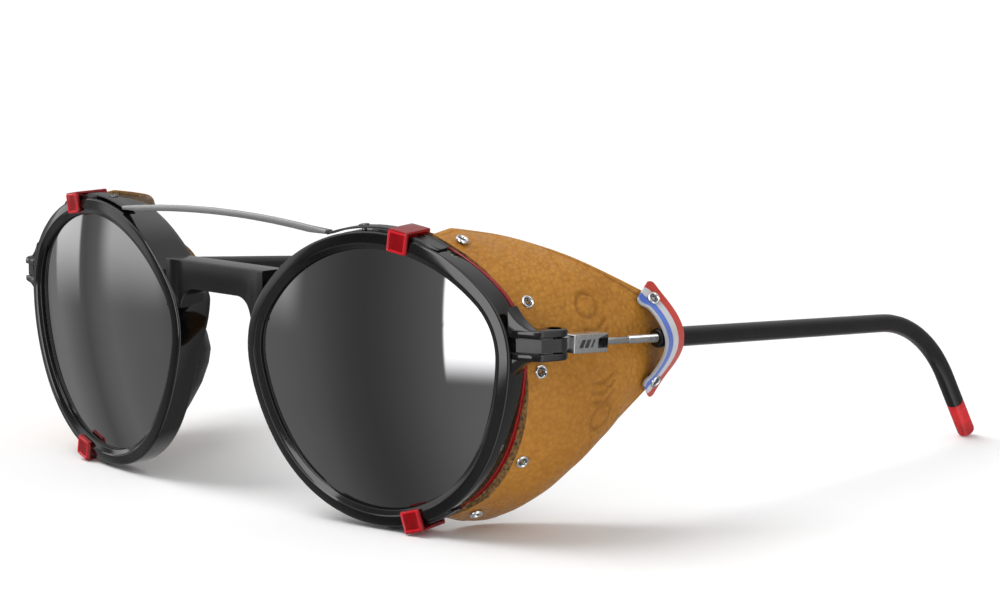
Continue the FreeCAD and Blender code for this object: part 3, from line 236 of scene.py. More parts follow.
def inset(outline, distance):
    """Outline moved inwards by a distance along its vertex normals."""
    outline = np.asarray(outline, float)
    ahead = np.roll(outline, -1, 0) - outline
    behind = outline - np.roll(outline, 1, 0)
    ahead /= np.maximum(np.linalg.norm(ahead, axis=1, keepdims=True), 1e-9)
    behind /= np.maximum(np.linalg.norm(behind, axis=1, keepdims=True), 1e-9)
    along = ahead + behind
    along /= np.maximum(np.linalg.norm(along, axis=1, keepdims=True), 1e-9)
    area = np.sum(outline[:, 0] * np.roll(outline[:, 1], -1) - np.roll(outline[:, 0], -1) * outline[:, 1])
    normal = np.stack([-along[:, 1], along[:, 0]], 1) * (1 if area > 0 else -1)
    return outline + normal * distance


def slab(outline, low, high, soft, steps=3):
    """Plate between two heights from an outline in x, y, its edges rounded by soft."""
    rings = []
    for k in range(steps + 1):
        angle = math.pi / 2 * k / steps
        rings.append((soft * (1 - math.sin(angle)), low + soft * (1 - math.cos(angle))))
    rings += [(move, low + high - level) for move, level in reversed(rings)]
    skinned = []
    for move, level in rings:
        moved = inset(outline, move)
        skinned.append(np.column_stack([moved, np.full(len(moved), level)]))
    return skin(skinned)


def lathe(profile, place, around, wave=None, loop=False):
    """Body turned about its local Z axis; place maps local points; wave(r, z, angle) may change z."""
    angles = np.linspace(0, 2 * math.pi, around, endpoint=False)
    rings = []
    for radius, level in profile:
        ring = np.stack([radius * np.cos(angles), radius * np.sin(angles), np.full(around, level)], 1)
        if wave is not None:
            ring[:, 2] += wave(radius, level, angles)
        rings.append(place(ring))
    return skin(rings, loop)


def aimed(point, axis, side_hint=(0.0, 0.0, 1.0)):
    """Map from local points to a place whose Z axis has a direction."""
    z = np.asarray(axis, float) / np.linalg.norm(axis)
    hint = np.asarray(side_hint, float)
    x = hint - z * hint.dot(z)
    if np.linalg.norm(x) < 1e-3:
        x = np.array([1.0, 0.0, 0.0]) - z * z[0]
    x /= np.linalg.norm(x)
    y = np.cross(z, x)
    start = np.asarray(point, float)
    return lambda p: start + p[..., :1] * x + p[..., 1:2] * y + p[..., 2:3] * z


def laid(place, side, shell, mark=0):
    """Shell of one local frame placed by from_lens or from_temple, with its material index."""
    points, faces = shell
    return place(side, points), faces, mark


# ---------------------------------------------------------------- materials
def material(name, color, rough, metallic=0.0, **inputs):
    """Principled material with its constants on the shader's own sockets, and helpers to build on it."""
    mat = bpy.data.materials.new(name)
    mat.use_nodes = True
    tree = mat.node_tree
    shader = tree.nodes["Principled BSDF"]
    shader.inputs["Base Color"].default_value = (*color, 1)
    shader.inputs["Roughness"].default_value = rough
    shader.inputs["Metallic"].default_value = metallic
    for key, value in inputs.items():
        shader.inputs[key.replace("_", " ")].default_value = value
    return mat, tree, shader


def node(tree, kind, **settings):
    """New node; a setting is the value of the input with that name, or else a property."""
    item = tree.nodes.new(kind)
    for key, value in settings.items():
        socket = key.replace("_", " ")
        if socket in item.inputs:
            item.inputs[socket].default_value = value
        else:
            setattr(item, key, value)
    return item


def attribute(tree, name):
    return node(tree, "ShaderNodeAttribute", attribute_name=name).outputs["Fac"]


def noise_node(tree, scale, detail=3.0, rough=0.55, stretch=(1, 1, 1)):
    """Noise over the object's own coordinates; scale is in features per metre."""
    coords = node(tree, "ShaderNodeTexCoord")
    mapping = node(tree, "ShaderNodeMapping", Scale=stretch)
    tree.links.new(coords.outputs["Object"], mapping.inputs["Vector"])
    item = node(tree, "ShaderNodeTexNoise", Scale=scale, Detail=detail, Roughness=rough)
    tree.links.new(mapping.outputs["Vector"], item.inputs["Vector"])
    return item


def ramp(tree, source, stops, constant=False):
    """Colour between stops of (place, colour), in steps if constant."""
    item = node(tree, "ShaderNodeValToRGB")
    if constant:
        item.color_ramp.interpolation = "CONSTANT"
    elements = item.color_ramp.elements
    while len(elements) < len(stops):
        elements.new(0.5)
    for element, (place, color) in zip(elements, stops):
        element.position = place
        element.color = (*color, 1)
    tree.links.new(source, item.inputs["Fac"])
    return item.outputs["Color"]


def spread(tree, source, low, high):
    """Value that goes from low to high as the source crosses its usual range."""
    item = node(tree, "ShaderNodeMapRange", From_Min=0.3, From_Max=0.7, To_Min=low, To_Max=high)
    tree.links.new(source, item.inputs["Value"])
    return item.outputs["Result"]


def mix(tree, share, first, second, mode="MIX"):
    """Mix of two colours; the share and the colours may each be a socket."""
    item = node(tree, "ShaderNodeMix", data_type="RGBA", blend_type=mode)
    for socket, value in ((item.inputs[0], share), (item.inputs[6], first), (item.inputs[7], second)):
        if isinstance(value, bpy.types.NodeSocket):
            tree.links.new(value, socket)
        else:
            socket.default_value = value if isinstance(value, float) else (*value, 1)
    return item.outputs[2]


def bump(tree, shader, height, strength, distance, under=None):
    """Bump on the shader, over another bump's normal; the distance is in metres."""
    item = node(tree, "ShaderNodeBump", Strength=strength, Distance=distance)
    tree.links.new(height, item.inputs["Height"])
    if under is not None:
        tree.links.new(under, item.inputs["Normal"])
    tree.links.new(item.outputs["Normal"], shader.inputs["Normal"])
    return item.outputs["Normal"]


def worn(tree, shader, scale, low, high, depth=0.00001):
    """Uneven gloss and the faintest bump, as on handled plastic and metal."""
    cloud = noise_node(tree, scale)
    tree.links.new(spread(tree, cloud.outputs["Fac"], low, high), shader.inputs["Roughness"])
    fine = noise_node(tree, scale * 12, 2.0)
    bump(tree, shader, fine.outputs["Fac"], 0.25, depth)


def smoke_material():
    """Smoke-black moulded plastic under a thin clear gloss."""
    mat, tree, shader = material("smoke_plastic", (0.012, 0.011, 0.013), 0.08, IOR=1.5, Coat_Weight=0.2,
                                 Coat_Roughness=0.03)
    cloud = noise_node(tree, 90, 4.0)
    color = ramp(tree, cloud.outputs["Fac"],
                 [(0.3, (0.0015, 0.0014, 0.0016)), (0.7, (0.0045, 0.0042, 0.0046))])
    tree.links.new(color, shader.inputs["Base Color"])
    worn(tree, shader, 140, 0.05, 0.14, 0.000004)
    return mat


def gloss_plastic(name, low, high, tint):
    """Even plastic or rubber whose roughness wanders between two values."""
    mat, tree, shader = material(name, tint, low, IOR=1.5)
    cloud = noise_node(tree, 200, 3.0)
    color = ramp(tree, cloud.outputs["Fac"],
                 [(0.3, tuple(c * 0.75 for c in tint)), (0.7, tuple(c * 1.6 for c in tint))])
    tree.links.new(color, shader.inputs["Base Color"])
    worn(tree, shader, 260, low, high, 0.000006)
    return mat


def lens_material():
    """Dark lens with a silver flash mirror."""
    mat, tree, shader = material("flash_mirror_lens", (0.30, 0.30, 0.305), 0.02, metallic=1.0)
    film = noise_node(tree, 60, 2.0)
    tree.links.new(spread(tree, film.outputs["Fac"], 0.012, 0.035), shader.inputs["Roughness"])
    tone = ramp(tree, film.outputs["Fac"], [(0.3, (0.29, 0.29, 0.295)), (0.7, (0.31, 0.31, 0.315))])
    tree.links.new(tone, shader.inputs["Base Color"])
    return mat


def ruby_material(name, deep, bright):
    """Clear red moulded plastic of the clip-on."""
    mat, tree, shader = material(name, bright, 0.06, IOR=1.5, Transmission_Weight=0.15)
    cloud = noise_node(tree, 500, 2.0)
    color = ramp(tree, cloud.outputs["Fac"], [(0.3, deep), (0.7, bright)])
    tree.links.new(color, shader.inputs["Base Color"])
    worn(tree, shader, 400, 0.04, 0.12, 0.000004)
    return mat


def steel_material(name, tone, low, high, brushed=True):
    """Bare metal, brushed along its length or evenly polished."""
    mat, tree, shader = material(name, (tone, tone, tone * 1.01), low, metallic=1.0)
    streaks = noise_node(tree, 1400 if brushed else 500, 3.0, 0.5, (0.06, 1, 1) if brushed else (1, 1, 1))
    color = ramp(tree, streaks.outputs["Fac"], [(0.3, (tone * 0.93,) * 3), (0.7, (tone * 1.04,) * 3)])
    tree.links.new(color, shader.inputs["Base Color"])
    tree.links.new(spread(tree, streaks.outputs["Fac"], low, high), shader.inputs["Roughness"])
    bump(tree, shader, streaks.outputs["Fac"], 0.12, 0.000002)
    return mat


def leather_material():
    """Tan pebbled leather: cell grain, fine pores, creased colour, burnished edge, pressed marks darker."""
    mat, tree, shader = material("tan_leather_grain", (0.42, 0.19, 0.03), 0.5, IOR=1.45,
                                 Specular_IOR_Level=0.35)
    coords = node(tree, "ShaderNodeTexCoord")
    warp = noise_node(tree, 900, 2.0)
    shifted = node(tree, "ShaderNodeVectorMath", operation="MULTIPLY_ADD")
    tree.links.new(warp.outputs["Color"], shifted.inputs[0])
    shifted.inputs[1].default_value = (0.0006, 0.0006, 0.0006)
    tree.links.new(coords.outputs["Object"], shifted.inputs[2])
    cells = node(tree, "ShaderNodeTexVoronoi", feature="F1", Scale=1150.0, Randomness=0.95)
    tree.links.new(shifted.outputs[0], cells.inputs["Vector"])
    coarse = node(tree, "ShaderNodeTexVoronoi", feature="F1", Scale=620.0, Randomness=1.0)
    tree.links.new(shifted.outputs[0], coarse.inputs["Vector"])
    pores = noise_node(tree, 3800, 4.0, 0.65)
    folds = noise_node(tree, 130, 5.0, 0.6, (0.7, 1.0, 2.2))
    patches = noise_node(tree, 55, 4.0)
    base = ramp(tree, patches.outputs["Fac"],
                [(0.25, (0.44, 0.188, 0.020)), (0.5, (0.49, 0.215, 0.026)), (0.78, (0.55, 0.250, 0.034))])
    valley = ramp(tree, cells.outputs["Distance"], [(0.15, (1.0, 1.0, 1.0)), (0.8, (0.78, 0.70, 0.56))])
    color = mix(tree, 0.75, base, valley, "MULTIPLY")
    fold_tone = ramp(tree, folds.outputs["Fac"], [(0.34, (0.84, 0.79, 0.70)), (0.5, (1.0, 1.0, 1.0))])
    color = mix(tree, 0.5, color, fold_tone, "MULTIPLY")
    color = mix(tree, attribute(tree, "burnish"), color, (0.10, 0.045, 0.012))
    dented = mix(tree, 0.35, color, (0.20, 0.082, 0.010))
    color = mix(tree, attribute(tree, "press"), color, dented)
    tree.links.new(color, shader.inputs["Base Color"])
    gloss = noise_node(tree, 420, 3.0)
    tree.links.new(spread(tree, gloss.outputs["Fac"], 0.30, 0.50), shader.inputs["Roughness"])
    first = bump(tree, shader, cells.outputs["Distance"], 0.8, -0.00022)
    second = bump(tree, shader, coarse.outputs["Distance"], 0.4, -0.00018, first)
    third = bump(tree, shader, folds.outputs["Fac"], 0.4, 0.0003, second)
    bump(tree, shader, pores.outputs["Fac"], 0.3, 0.00003, third)
    return mat


def lining_material():
    """Rough back of the leather: ochre suede flecked with dark brown."""
    mat, tree, shader = material("suede_lining", (0.20, 0.10, 0.03), 0.9, Sheen_Weight=0.25,
                                 Sheen_Roughness=0.5)
    flecks = noise_node(tree, 1500, 5.0, 0.7)
    color = ramp(tree, flecks.outputs["Fac"],
                 [(0.38, (0.035, 0.022, 0.012)), (0.5, (0.20, 0.105, 0.028)), (0.66, (0.36, 0.20, 0.055))])
    tree.links.new(color, shader.inputs["Base Color"])
    tree.links.new(spread(tree, flecks.outputs["Fac"], 0.98, 0.78), shader.inputs["Roughness"])
    bump(tree, shader, flecks.outputs["Fac"], 0.8, 0.00012)
    return mat


def ribbon_material():
    """Woven ribbon: blue, white and red stripes, pale selvedge, ribbed weave."""
    mat, tree, shader = material("woven_ribbon", (0.3, 0.3, 0.4), 0.75, Sheen_Weight=0.3)
    across, along = attribute(tree, "across"), attribute(tree, "along")
    color = ramp(tree, across,
                 [(0.0, (0.50, 0.50, 0.52)), (0.10, (0.075, 0.165, 0.62)), (0.36, (0.66, 0.67, 0.70)),
                  (0.66, (0.60, 0.030, 0.012))], constant=True)
    joined = node(tree, "ShaderNodeCombineXYZ")
    tree.links.new(along, joined.inputs["X"])
    tree.links.new(across, joined.inputs["Y"])
    weave = node(tree, "ShaderNodeTexWave", wave_type="BANDS", bands_direction="X", Scale=14.0,
                 Distortion=0.6)
    tree.links.new(joined.outputs[0], weave.inputs["Vector"])
    cross = node(tree, "ShaderNodeTexWave", wave_type="BANDS", bands_direction="Y", Scale=5.5)
    tree.links.new(joined.outputs[0], cross.inputs["Vector"])
    threads = mix(tree, 0.5, weave.outputs["Color"], cross.outputs["Color"])
    tone = ramp(tree, threads, [(0.1, (0.72, 0.72, 0.72)), (0.7, (1.0, 1.0, 1.0))])
    tree.links.new(mix(tree, 0.8, color, tone, "MULTIPLY"), shader.inputs["Base Color"])
    fuzz = noise_node(tree, 2500, 3.0)
    tree.links.new(spread(tree, fuzz.outputs["Fac"], 0.62, 0.88), shader.inputs["Roughness"])
    bump(tree, shader, threads, 0.5, 0.00006)
    return mat


SMOKE = smoke_material()
LENS = lens_material()
PAD_BLACK = gloss_plastic("pad_black", 0.22, 0.34, (0.006, 0.006, 0.0065))
RUBBER = gloss_plastic("clip_rubber", 0.16, 0.32, (0.013, 0.013, 0.014))
PLATE = gloss_plastic("black_hinge_metal", 0.14, 0.24, (0.012, 0.012, 0.013))
SLEEVE = gloss_plastic("satin_sleeve", 0.16, 0.26, (0.004, 0.004, 0.0045))
RUBY = ruby_material("ruby_plastic", (0.24, 0.0003, 0.003), (0.36, 0.0008, 0.005))
# lighter red of the hooks' raised borders: a painted highlight, a lit copy of the ruby plastic
RUBY_PAINTED_HIGHLIGHT = ruby_material("ruby_painted_highlight", (0.62, 0.006, 0.014), (0.78, 0.014, 0.028))
SATIN = steel_material("satin_steel", 0.62, 0.24, 0.38)
BAR = steel_material("bar_steel", 0.55, 0.20, 0.32)
FOOT_STEEL = gloss_plastic("blackened_steel", 0.18, 0.32, (0.030, 0.030, 0.032))
CHROME = steel_material("polished_rivet", 0.78, 0.06, 0.16, brushed=False)
# dark steel of the bar screws, also used for the rivet cups, where the dark colour in the bore is painted
# shade
DARK_STEEL_AND_BORE_SHADE = steel_material("dark_steel_and_painted_bore_shade", 0.16, 0.10, 0.22, brushed=False)
ROD = steel_material("temple_wire_steel", 0.60, 0.10, 0.20, brushed=False)
TAN = leather_material()
LINING = lining_material()
RIBBON = ribbon_material()
TIP = gloss_plastic("red_tip_plastic", 0.22, 0.34, (0.52, 0.010, 0.014))
MARK = gloss_plastic("dark_inlay", 0.35, 0.5, (0.03, 0.03, 0.032))


# ---------------------------------------------------------------- rim outline
def outline_arcs():
    """Centres and radii of the brow, shoulder, cheek and lower arcs, right half."""
    top = np.array([0.0, RIM_TOP - ARC_TOP])
    bottom = np.array([0.0, ARC_BOTTOM - RIM_BOTTOM])
    shoulder_x = HALF_WIDTH - ARC_SHOULDER
    shoulder = np.array([shoulder_x, top[1] + math.sqrt((ARC_TOP - ARC_SHOULDER) ** 2 - shoulder_x ** 2)])
    to_shoulder, to_bottom = ARC_CHEEK - ARC_SHOULDER, ARC_CHEEK - ARC_BOTTOM
    span = bottom - shoulder
    length = np.linalg.norm(span)
    along = (to_shoulder ** 2 - to_bottom ** 2 + length ** 2) / (2 * length)
    aside = math.sqrt(to_shoulder ** 2 - along ** 2)
    unit = span / length
    normal = np.array([-unit[1], unit[0]])
    cheek = min((shoulder + unit * along + normal * hand * aside for hand in (1, -1)), key=lambda p: p[0])
    return top, shoulder, cheek, bottom


def outline_samples():
    """Arc centre, radius and bearing of each point round the outline, in the leaned lens frame."""
    top, shoulder, cheek, bottom = outline_arcs()

    def bearing(a, b):
        return math.atan2(b[1] - a[1], b[0] - a[0])

    brow, cheek_top, foot = bearing(top, shoulder), bearing(cheek, shoulder), bearing(cheek, bottom)
    flip = np.array([-1.0, 1.0])
    pi = math.pi
    arcs = [(top, ARC_TOP, brow, pi - brow, 44),
            (shoulder * flip, ARC_SHOULDER, pi - brow, pi - cheek_top, 28),
            (cheek * flip, ARC_CHEEK, pi - cheek_top, pi - foot, 40),
            (bottom, ARC_BOTTOM, pi - foot, 2 * pi + foot, 64),
            (cheek, ARC_CHEEK, foot, cheek_top, 40),
            (shoulder, ARC_SHOULDER, cheek_top, brow, 28)]
    samples = []
    for centre, radius, start, stop, count in arcs:
        for k in range(count):
            samples.append((centre[0], centre[1], radius, start + (stop - start) * k / count))
    return np.array(samples)


SAMPLES = outline_samples()


def rim_line(side, move):
    """Outline moved inwards, turned by the lean, in the lens frame's x, y."""
    angle = SAMPLES[:, 3]
    x = SAMPLES[:, 0] + (SAMPLES[:, 2] - move) * np.cos(angle)
    y = SAMPLES[:, 1] + (SAMPLES[:, 2] - move) * np.sin(angle)
    cos, sin = math.cos(side * LEAN), math.sin(side * LEAN)
    return np.stack([x * cos - y * sin, x * sin + y * cos], 1)


def rim_sweep(side, profile, keep=None, brow=0.0):
    """Rings of a section of (inset, depth) round the outline, or along the part that keep(x, y) picks.

    brow is how much deeper the section gets above the bridge.
    """
    rings = []
    for move, depth in profile:
        line = rim_line(side, move)
        inward = np.clip((-side * line[:, 0] + 1.0) / 7.0, 0, 1) * np.clip((line[:, 1] + 1.0) / 9.0, 0, 1)
        deeper = brow * inward * max(0.0, depth - 2.0) / (RIM_DEPTH - 2.0)
        rings.append(np.column_stack([line, face_height(line[:, 0], line[:, 1], depth + deeper)]))
    rings = np.array(rings).transpose(1, 0, 2)
    if keep is None:
        return rings
    middle = rings.mean(1)
    chosen = keep(side * middle[:, 0], middle[:, 1])
    start = next(i for i in range(len(chosen)) if chosen[i] and not chosen[i - 1])
    order = [(start + k) % len(chosen) for k in range(int(chosen.sum()))]
    return rings[order]


# ---------------------------------------------------------------- front frame
def rim_shell(side):
    """Rim with its lens groove and a stepped front edge."""
    section = rounded([(0, 0, 0.4), (1.75, 0.0, 0.12), (2.0, 0.28, 0.1), (2.8, 0.8, 0.1), (2.8, 1.25, 0.02),
                       (1.9, 1.25, 0.02), (1.9, 3.15, 0.02), (2.8, 3.15, 0.02), (2.8, RIM_DEPTH, 0.4),
                       (0, RIM_DEPTH, 0.45)], 0.1)
    return laid(from_lens, side, skin(rim_sweep(side, section, brow=3.0), loop=True))


def bridge_shell():
    """Bridge with a crisp top edge, keyhole corners under its ends and a flare into each rim."""
    rings = []
    top, rear, half_length = 39.7, 3.8, 12.5
    foot, corner, half_gap = 34.8, 3.5, 9.0
    inner = half_gap - corner
    for x in np.linspace(-half_length, half_length, 61):
        away = abs(x)
        if away <= inner:
            low = foot
        elif away < half_gap:
            low = foot - corner + math.sqrt(max(corner ** 2 - (away - inner) ** 2, 0))
        else:
            low = foot - corner
        flare = max(0.0, (away - 8.0) / 3.2)
        front = -1.2 - 0.25 * min(flare, 1.0) ** 2.0
        ring = rounded([(front, top, 0.3), (front, low, 0.35), (rear, low, 0.5), (rear, top, 0.5)], 0.3)
        rings.append(np.column_stack([np.full(len(ring), x), ring]))
    return skin(rings)


def lug_shells(side):
    """End piece: two ears round the hinge, a core between them, and a flare into the rim on each."""
    level = PIN[2] - LENS_CENTRE[2]

    def at_rim(out, back):
        return from_lens(side, [side * (HALF_WIDTH + out), level, -back])[:2]

    def at_pin(out, back):
        return np.array([side * (PIN[0] + out), PIN[1] + back])

    boss = 2.1
    arc = [at_pin(boss * math.cos(a), boss * math.sin(a)) for a in np.radians(np.linspace(-16, 165, 16))]
    plan = [at_rim(-1.6, 0.9), at_rim(0.3, 0.7), at_rim(3.0, 1.1), at_pin(0.75, -3.9)] + arc
    plan += [at_pin(-1.9, -1.4), at_rim(0.9, RIM_DEPTH - 0.3), at_rim(-1.4, RIM_DEPTH - 0.5)]
    ear = rounded(plan, 0.5, 2)
    wall = 0.5
    core_plan = [at_rim(-1.6, 1.4), at_rim(0.3, 0.7 + wall), at_pin(0.75 - wall, -3.7), at_pin(1.5, -1.75),
                 at_pin(-1.9, -1.75), at_rim(0.9, RIM_DEPTH - 0.4), at_rim(-1.4, RIM_DEPTH - 0.6)]
    shells = []
    half, gap = LUG_HEIGHT / 2, 1.21
    for low, high in ((gap, half), (-half, -gap)):
        shells.append((*slab(ear, PIN[2] + low, PIN[2] + high, 0.35), 0))
    shells.append((*slab(rounded(core_plan, 0.2, 2), PIN[2] - 1.3, PIN[2] + 1.3, 0.02), 0))
    for up in (1, -1):
        rings = []
        for t in np.linspace(0, 1, 12):
            out = -1.2 + 5.6 * t
            high = half + 3.4 * (1 - t) ** 2.4 - 0.05
            front = at_rim(out, 0.75 + 0.5 * t)
            rear = at_rim(out, RIM_DEPTH - 0.5)
            span = rear - front
            ring = rounded([(0.0, 1.15, 0.02), (0.0, high, 0.45), (1.0, high, 0.45), (1.0, 1.15, 0.02)], 0.3)
            rings.append([(*(front + span * u), PIN[2] + up * z) for u, z in ring])
        shells.append((*skin(rings), 0))
    return shells


shells = [(*bridge_shell(), 0)]
for side in SIDES.values():
    shells.append(rim_shell(side))
    shells += lug_shells(side)
make("smoke_front", shells, "front", [SMOKE], "front_frame")


# ---------------------------------------------------------------- lenses and nose pads
def lens_shell(side):
    """Lens in the rim's groove, curved to the face."""
    rings, edge = [], rim_line(side, 1.95)
    for depth, shares in ((1.3, np.linspace(0.04, 1, 18)), (3.1, np.linspace(1, 0.04, 18))):
        for share in shares:
            line = edge * share
            rings.append(np.column_stack([line, face_height(line[:, 0], line[:, 1], depth)]))
    return laid(from_lens, side, skin(rings))


# nose pad's rear edge: height, distance from the middle plane, distance behind the bridge
PAD_EDGE = np.array([(34.6, 11.2, 3.9), (33.4, 11.6, 4.3), (30.0, 12.4, 5.3), (27.9, 11.9, 6.1),
                     (26.0, 11.4, 6.7), (23.3, 10.9, 7.1), (20.6, 11.4, 7.0), (17.0, 12.6, 6.4),
                     (13.3, 14.6, 5.5), (9.7, 16.8, 4.5)])


def pad_shell(side):
    """Nose pad moulded on to the rim's nasal wall, splayed outwards to its rounded rear edge."""
    line = rim_line(side, 0.0)
    wall = from_lens(side, np.column_stack([line, face_height(line[:, 0], line[:, 1], 1.0)]))
    nasal = wall[side * line[:, 0] < -8]
    nasal = nasal[np.argsort(nasal[:, 2])]
    rings = []
    rising = PAD_EDGE[::-1]
    for height in np.linspace(PAD_EDGE[0, 0], PAD_EDGE[-1, 0], 60):
        root = side * np.interp(height, nasal[:, 2], nasal[:, 0])
        front = np.interp(height, nasal[:, 2], nasal[:, 1])
        edge = np.interp(height, rising[:, 0], rising[:, 1])
        back = np.interp(height, rising[:, 0], rising[:, 2])
        swell = 0.8 * math.exp(-((height - 24.0) / 6.0) ** 2)
        crest = ((root + edge) / 2 - 0.25 - swell, (front + back) / 2 + 0.6, 2.0)
        plan = rounded([(root + 0.5, front + 0.2, 0.1), (root - 0.05, front + 1.0, 0.3), crest,
                        (edge - 0.1, back, 0.7), (edge + 1.3, back - 0.7, 0.6),
                        (root + 2.2, front + 2.6, 0.3)], 0.3, 5)
        rings.append(np.column_stack([side * plan[:, 0], plan[:, 1], np.full(len(plan), height)]))
    return skin(rings)


for word, side in SIDES.items():
    make("mirror_lens_" + word, [lens_shell(side)], "front", [LENS], "lens_" + word)
    pad = (*pad_shell(side), 0)
    make("moulded_pad_" + word, [pad], "front", [PAD_BLACK], "nose_pad_" + word)
    for part, look in (("hinge_plate_", PLATE), ("hinge_screw_", SATIN)):
        looks = frame["nodes"][part + word].data.materials
        looks.clear()
        looks.append(look)


# ---------------------------------------------------------------- temples
AHEAD = np.array([0.0, math.cos(DROOP), -math.sin(DROOP)])


def on_axis(back):
    """Point of the temple's straight axis, in the temple frame."""
    return np.array([0.0, back, -back * math.tan(DROOP)])


def temple_axis(start, stop_short, step=1.2):
    """Points and directions along the temple's axis, in the temple frame."""
    centre = on_axis(BEND_START) + np.array([0.0, -math.sin(DROOP), -math.cos(DROOP)]) * BEND_RADIUS
    places, ways = [], []
    for back in np.arange(start, BEND_START, step):
        places.append(on_axis(back))
        ways.append(AHEAD)
    for angle in np.linspace(DROOP, STEEP, 28):
        places.append(centre + np.array([0.0, math.sin(angle), math.cos(angle)]) * BEND_RADIUS)
        ways.append(np.array([0.0, math.cos(angle), -math.sin(angle)]))
    corner, last = places[-1], ways[-1]
    for run in np.linspace(1.0, END_LENGTH - stop_short, 10):
        places.append(corner + last * run)
        ways.append(last)
    return np.array(places), np.array(ways)


def tube(places, ways, radii, around=28):
    """Round tube along places in a plane of constant x."""
    rings = []
    angles = np.linspace(0, 2 * math.pi, around, endpoint=False)
    level = np.array([1.0, 0.0, 0.0])
    for place, way, radius in zip(places, ways, radii):
        upward = np.cross(level, way)
        rings.append([place + radius * (math.cos(a) * level + math.sin(a) * upward) for a in angles])
    return skin(rings)


def sleeve_shell(side):
    """Sleeve with a rounded, hollow front end round the wire."""
    places, ways = temple_axis(SLEEVE_START + 0.9, TIP_LENGTH + 0.05)
    radii = np.full(len(places), SLEEVE_RADIUS)
    nose = [(0.0, 0.66), (0.0, 1.25), (0.12, 1.42), (0.35, 1.56), (0.65, 1.63)]
    start = on_axis(SLEEVE_START)
    head = [start + AHEAD * (run / math.cos(DROOP)) for run, _ in nose]
    bore = [start + AHEAD * 1.6, start + AHEAD * 0.15]
    places = np.vstack([bore, head, places])
    ways = np.vstack([np.repeat(AHEAD[None], len(bore) + len(head), 0), ways])
    radii = np.concatenate([[0.6, 0.64], [r for _, r in nose], radii])
    return laid(from_temple, side, tube(places, ways, radii))


def tip_shell(side):
    """Rounded cap on the temple's end."""
    places, ways = temple_axis(BEND_START, 0.0)
    end, way = places[-1], ways[-1]
    profile = [(0.5, -0.3), (1.45, 0.0), (1.62, 0.1), (SLEEVE_RADIUS, 0.3), (SLEEVE_RADIUS, 3.0),
               (SLEEVE_RADIUS, TIP_LENGTH - 0.6), (1.6, TIP_LENGTH - 0.35), (1.42, TIP_LENGTH - 0.12),
               (1.15, TIP_LENGTH - 0.02), (0.5, TIP_LENGTH), (0.05, TIP_LENGTH)]
    return laid(from_temple, side, lathe(profile, aimed(end - way * TIP_LENGTH, way, (1.0, 0.0, 0.0)), 36))


BLOCK_START, BLOCK_LENGTH, BLOCK_NOTCH = 2.35, 8.4, 2.4


def rod_shell(side):
    """Temple wire from inside the block's notch: smooth, then ribbed up to the sleeve."""
    start = BLOCK_START + BLOCK_LENGTH - BLOCK_NOTCH - 1.0
    smooth_end, ribbed_end = 17.3, SLEEVE_START + 1.4
    place = smooth_end - start
    profile = [(0.05, 0.0), (0.58, 0.0), (0.62, 0.1), (0.62, place - 0.3), (0.56, place)]
    while place < ribbed_end - start:
        profile += [(0.52, place + 0.05), (0.70, place + 0.15), (0.70, place + 0.27), (0.52, place + 0.37)]
        place += 0.42
    profile.append((0.05, place))
    return laid(from_temple, side, lathe(profile, aimed(on_axis(start), AHEAD, (1.0, 0.0, 0.0)), 24))


def block_shells(side):
    """Knuckle, neck and notched block with three plain dark lozenges on its outer face."""
    length, notch = BLOCK_LENGTH, BLOCK_LENGTH - BLOCK_NOTCH
    tall, half_width, slot = 1.5, 1.3, 0.66

    def on_side(back, high):
        axis = on_axis(BLOCK_START + back)
        return (axis[1] + high * math.sin(DROOP), axis[2] + high * math.cos(DROOP))

    view = [(*on_side(0, -tall), 0.3), (*on_side(length, -tall), 0.12), (*on_side(length, -slot), 0.08),
            (*on_side(notch, -slot), 0.08), (*on_side(notch, slot), 0.08),
            (*on_side(length, slot), 0.08), (*on_side(length, tall), 0.12), (*on_side(0, tall), 0.3)]
    points, faces = slab(rounded(view, 0.1, 3), -half_width, half_width, 0.14)
    body = np.column_stack([points[:, 2], points[:, 0], points[:, 1]])
    shells = [(from_temple(side, body), faces, 0)]
    knuckle = np.array([-side * TEMPLE_OFFSET * math.cos(TOE), TEMPLE_OFFSET * math.sin(TOE), 0.0])
    profile = [(0.74, -1.15), (1.35, -1.15), (1.45, -1.05), (1.45, 1.05), (1.35, 1.15), (0.74, 1.15)]
    upright = aimed(knuckle, (0.0, 0.0, 1.0), (1.0, 0.0, 0.0))
    shells.append(laid(from_temple, side, lathe(profile, upright, 36)))
    near, far = knuckle[0] - 0.85, knuckle[0] + 0.85
    front, rear = knuckle[1] + 0.9, BLOCK_START + 1
    neck = rounded([(near, front), (far, front), (far, rear), (near, rear)], 0.1, 2)
    shells.append(laid(from_temple, side, slab(neck, -1.1, 1.1, 0.1)))
    lean, high = 0.35, 0.65
    for back, wide in ((2.0, 0.95), (3.3, 0.95), (4.6, 0.5)):
        lozenge = [(*on_side(back + i * wide / 2 + j * lean, j * high), 0.12)
                   for i, j in ((-1, -1), (1, -1), (1, 1), (-1, 1))]
        points, faces = slab(rounded(lozenge, 0.1, 3), half_width - 0.1, half_width + 0.015, 0.01, 1)
        inlay = np.column_stack([side * points[:, 2], points[:, 0], points[:, 1]])
        shells.append((from_temple(side, inlay), faces, 1))
    return shells


for word, side in SIDES.items():
    body = "temple_" + word
    make("sleeve_" + word, [sleeve_shell(side)], body, [SLEEVE], "temple_sleeve_" + word)
    make("tip_" + word, [tip_shell(side)], body, [TIP], "temple_tip_" + word)
    make("rod_" + word, [rod_shell(side)], body, [ROD], "temple_core_" + word)
    make("block_" + word, block_shells(side), body, [SATIN, MARK], "temple_block_" + word)


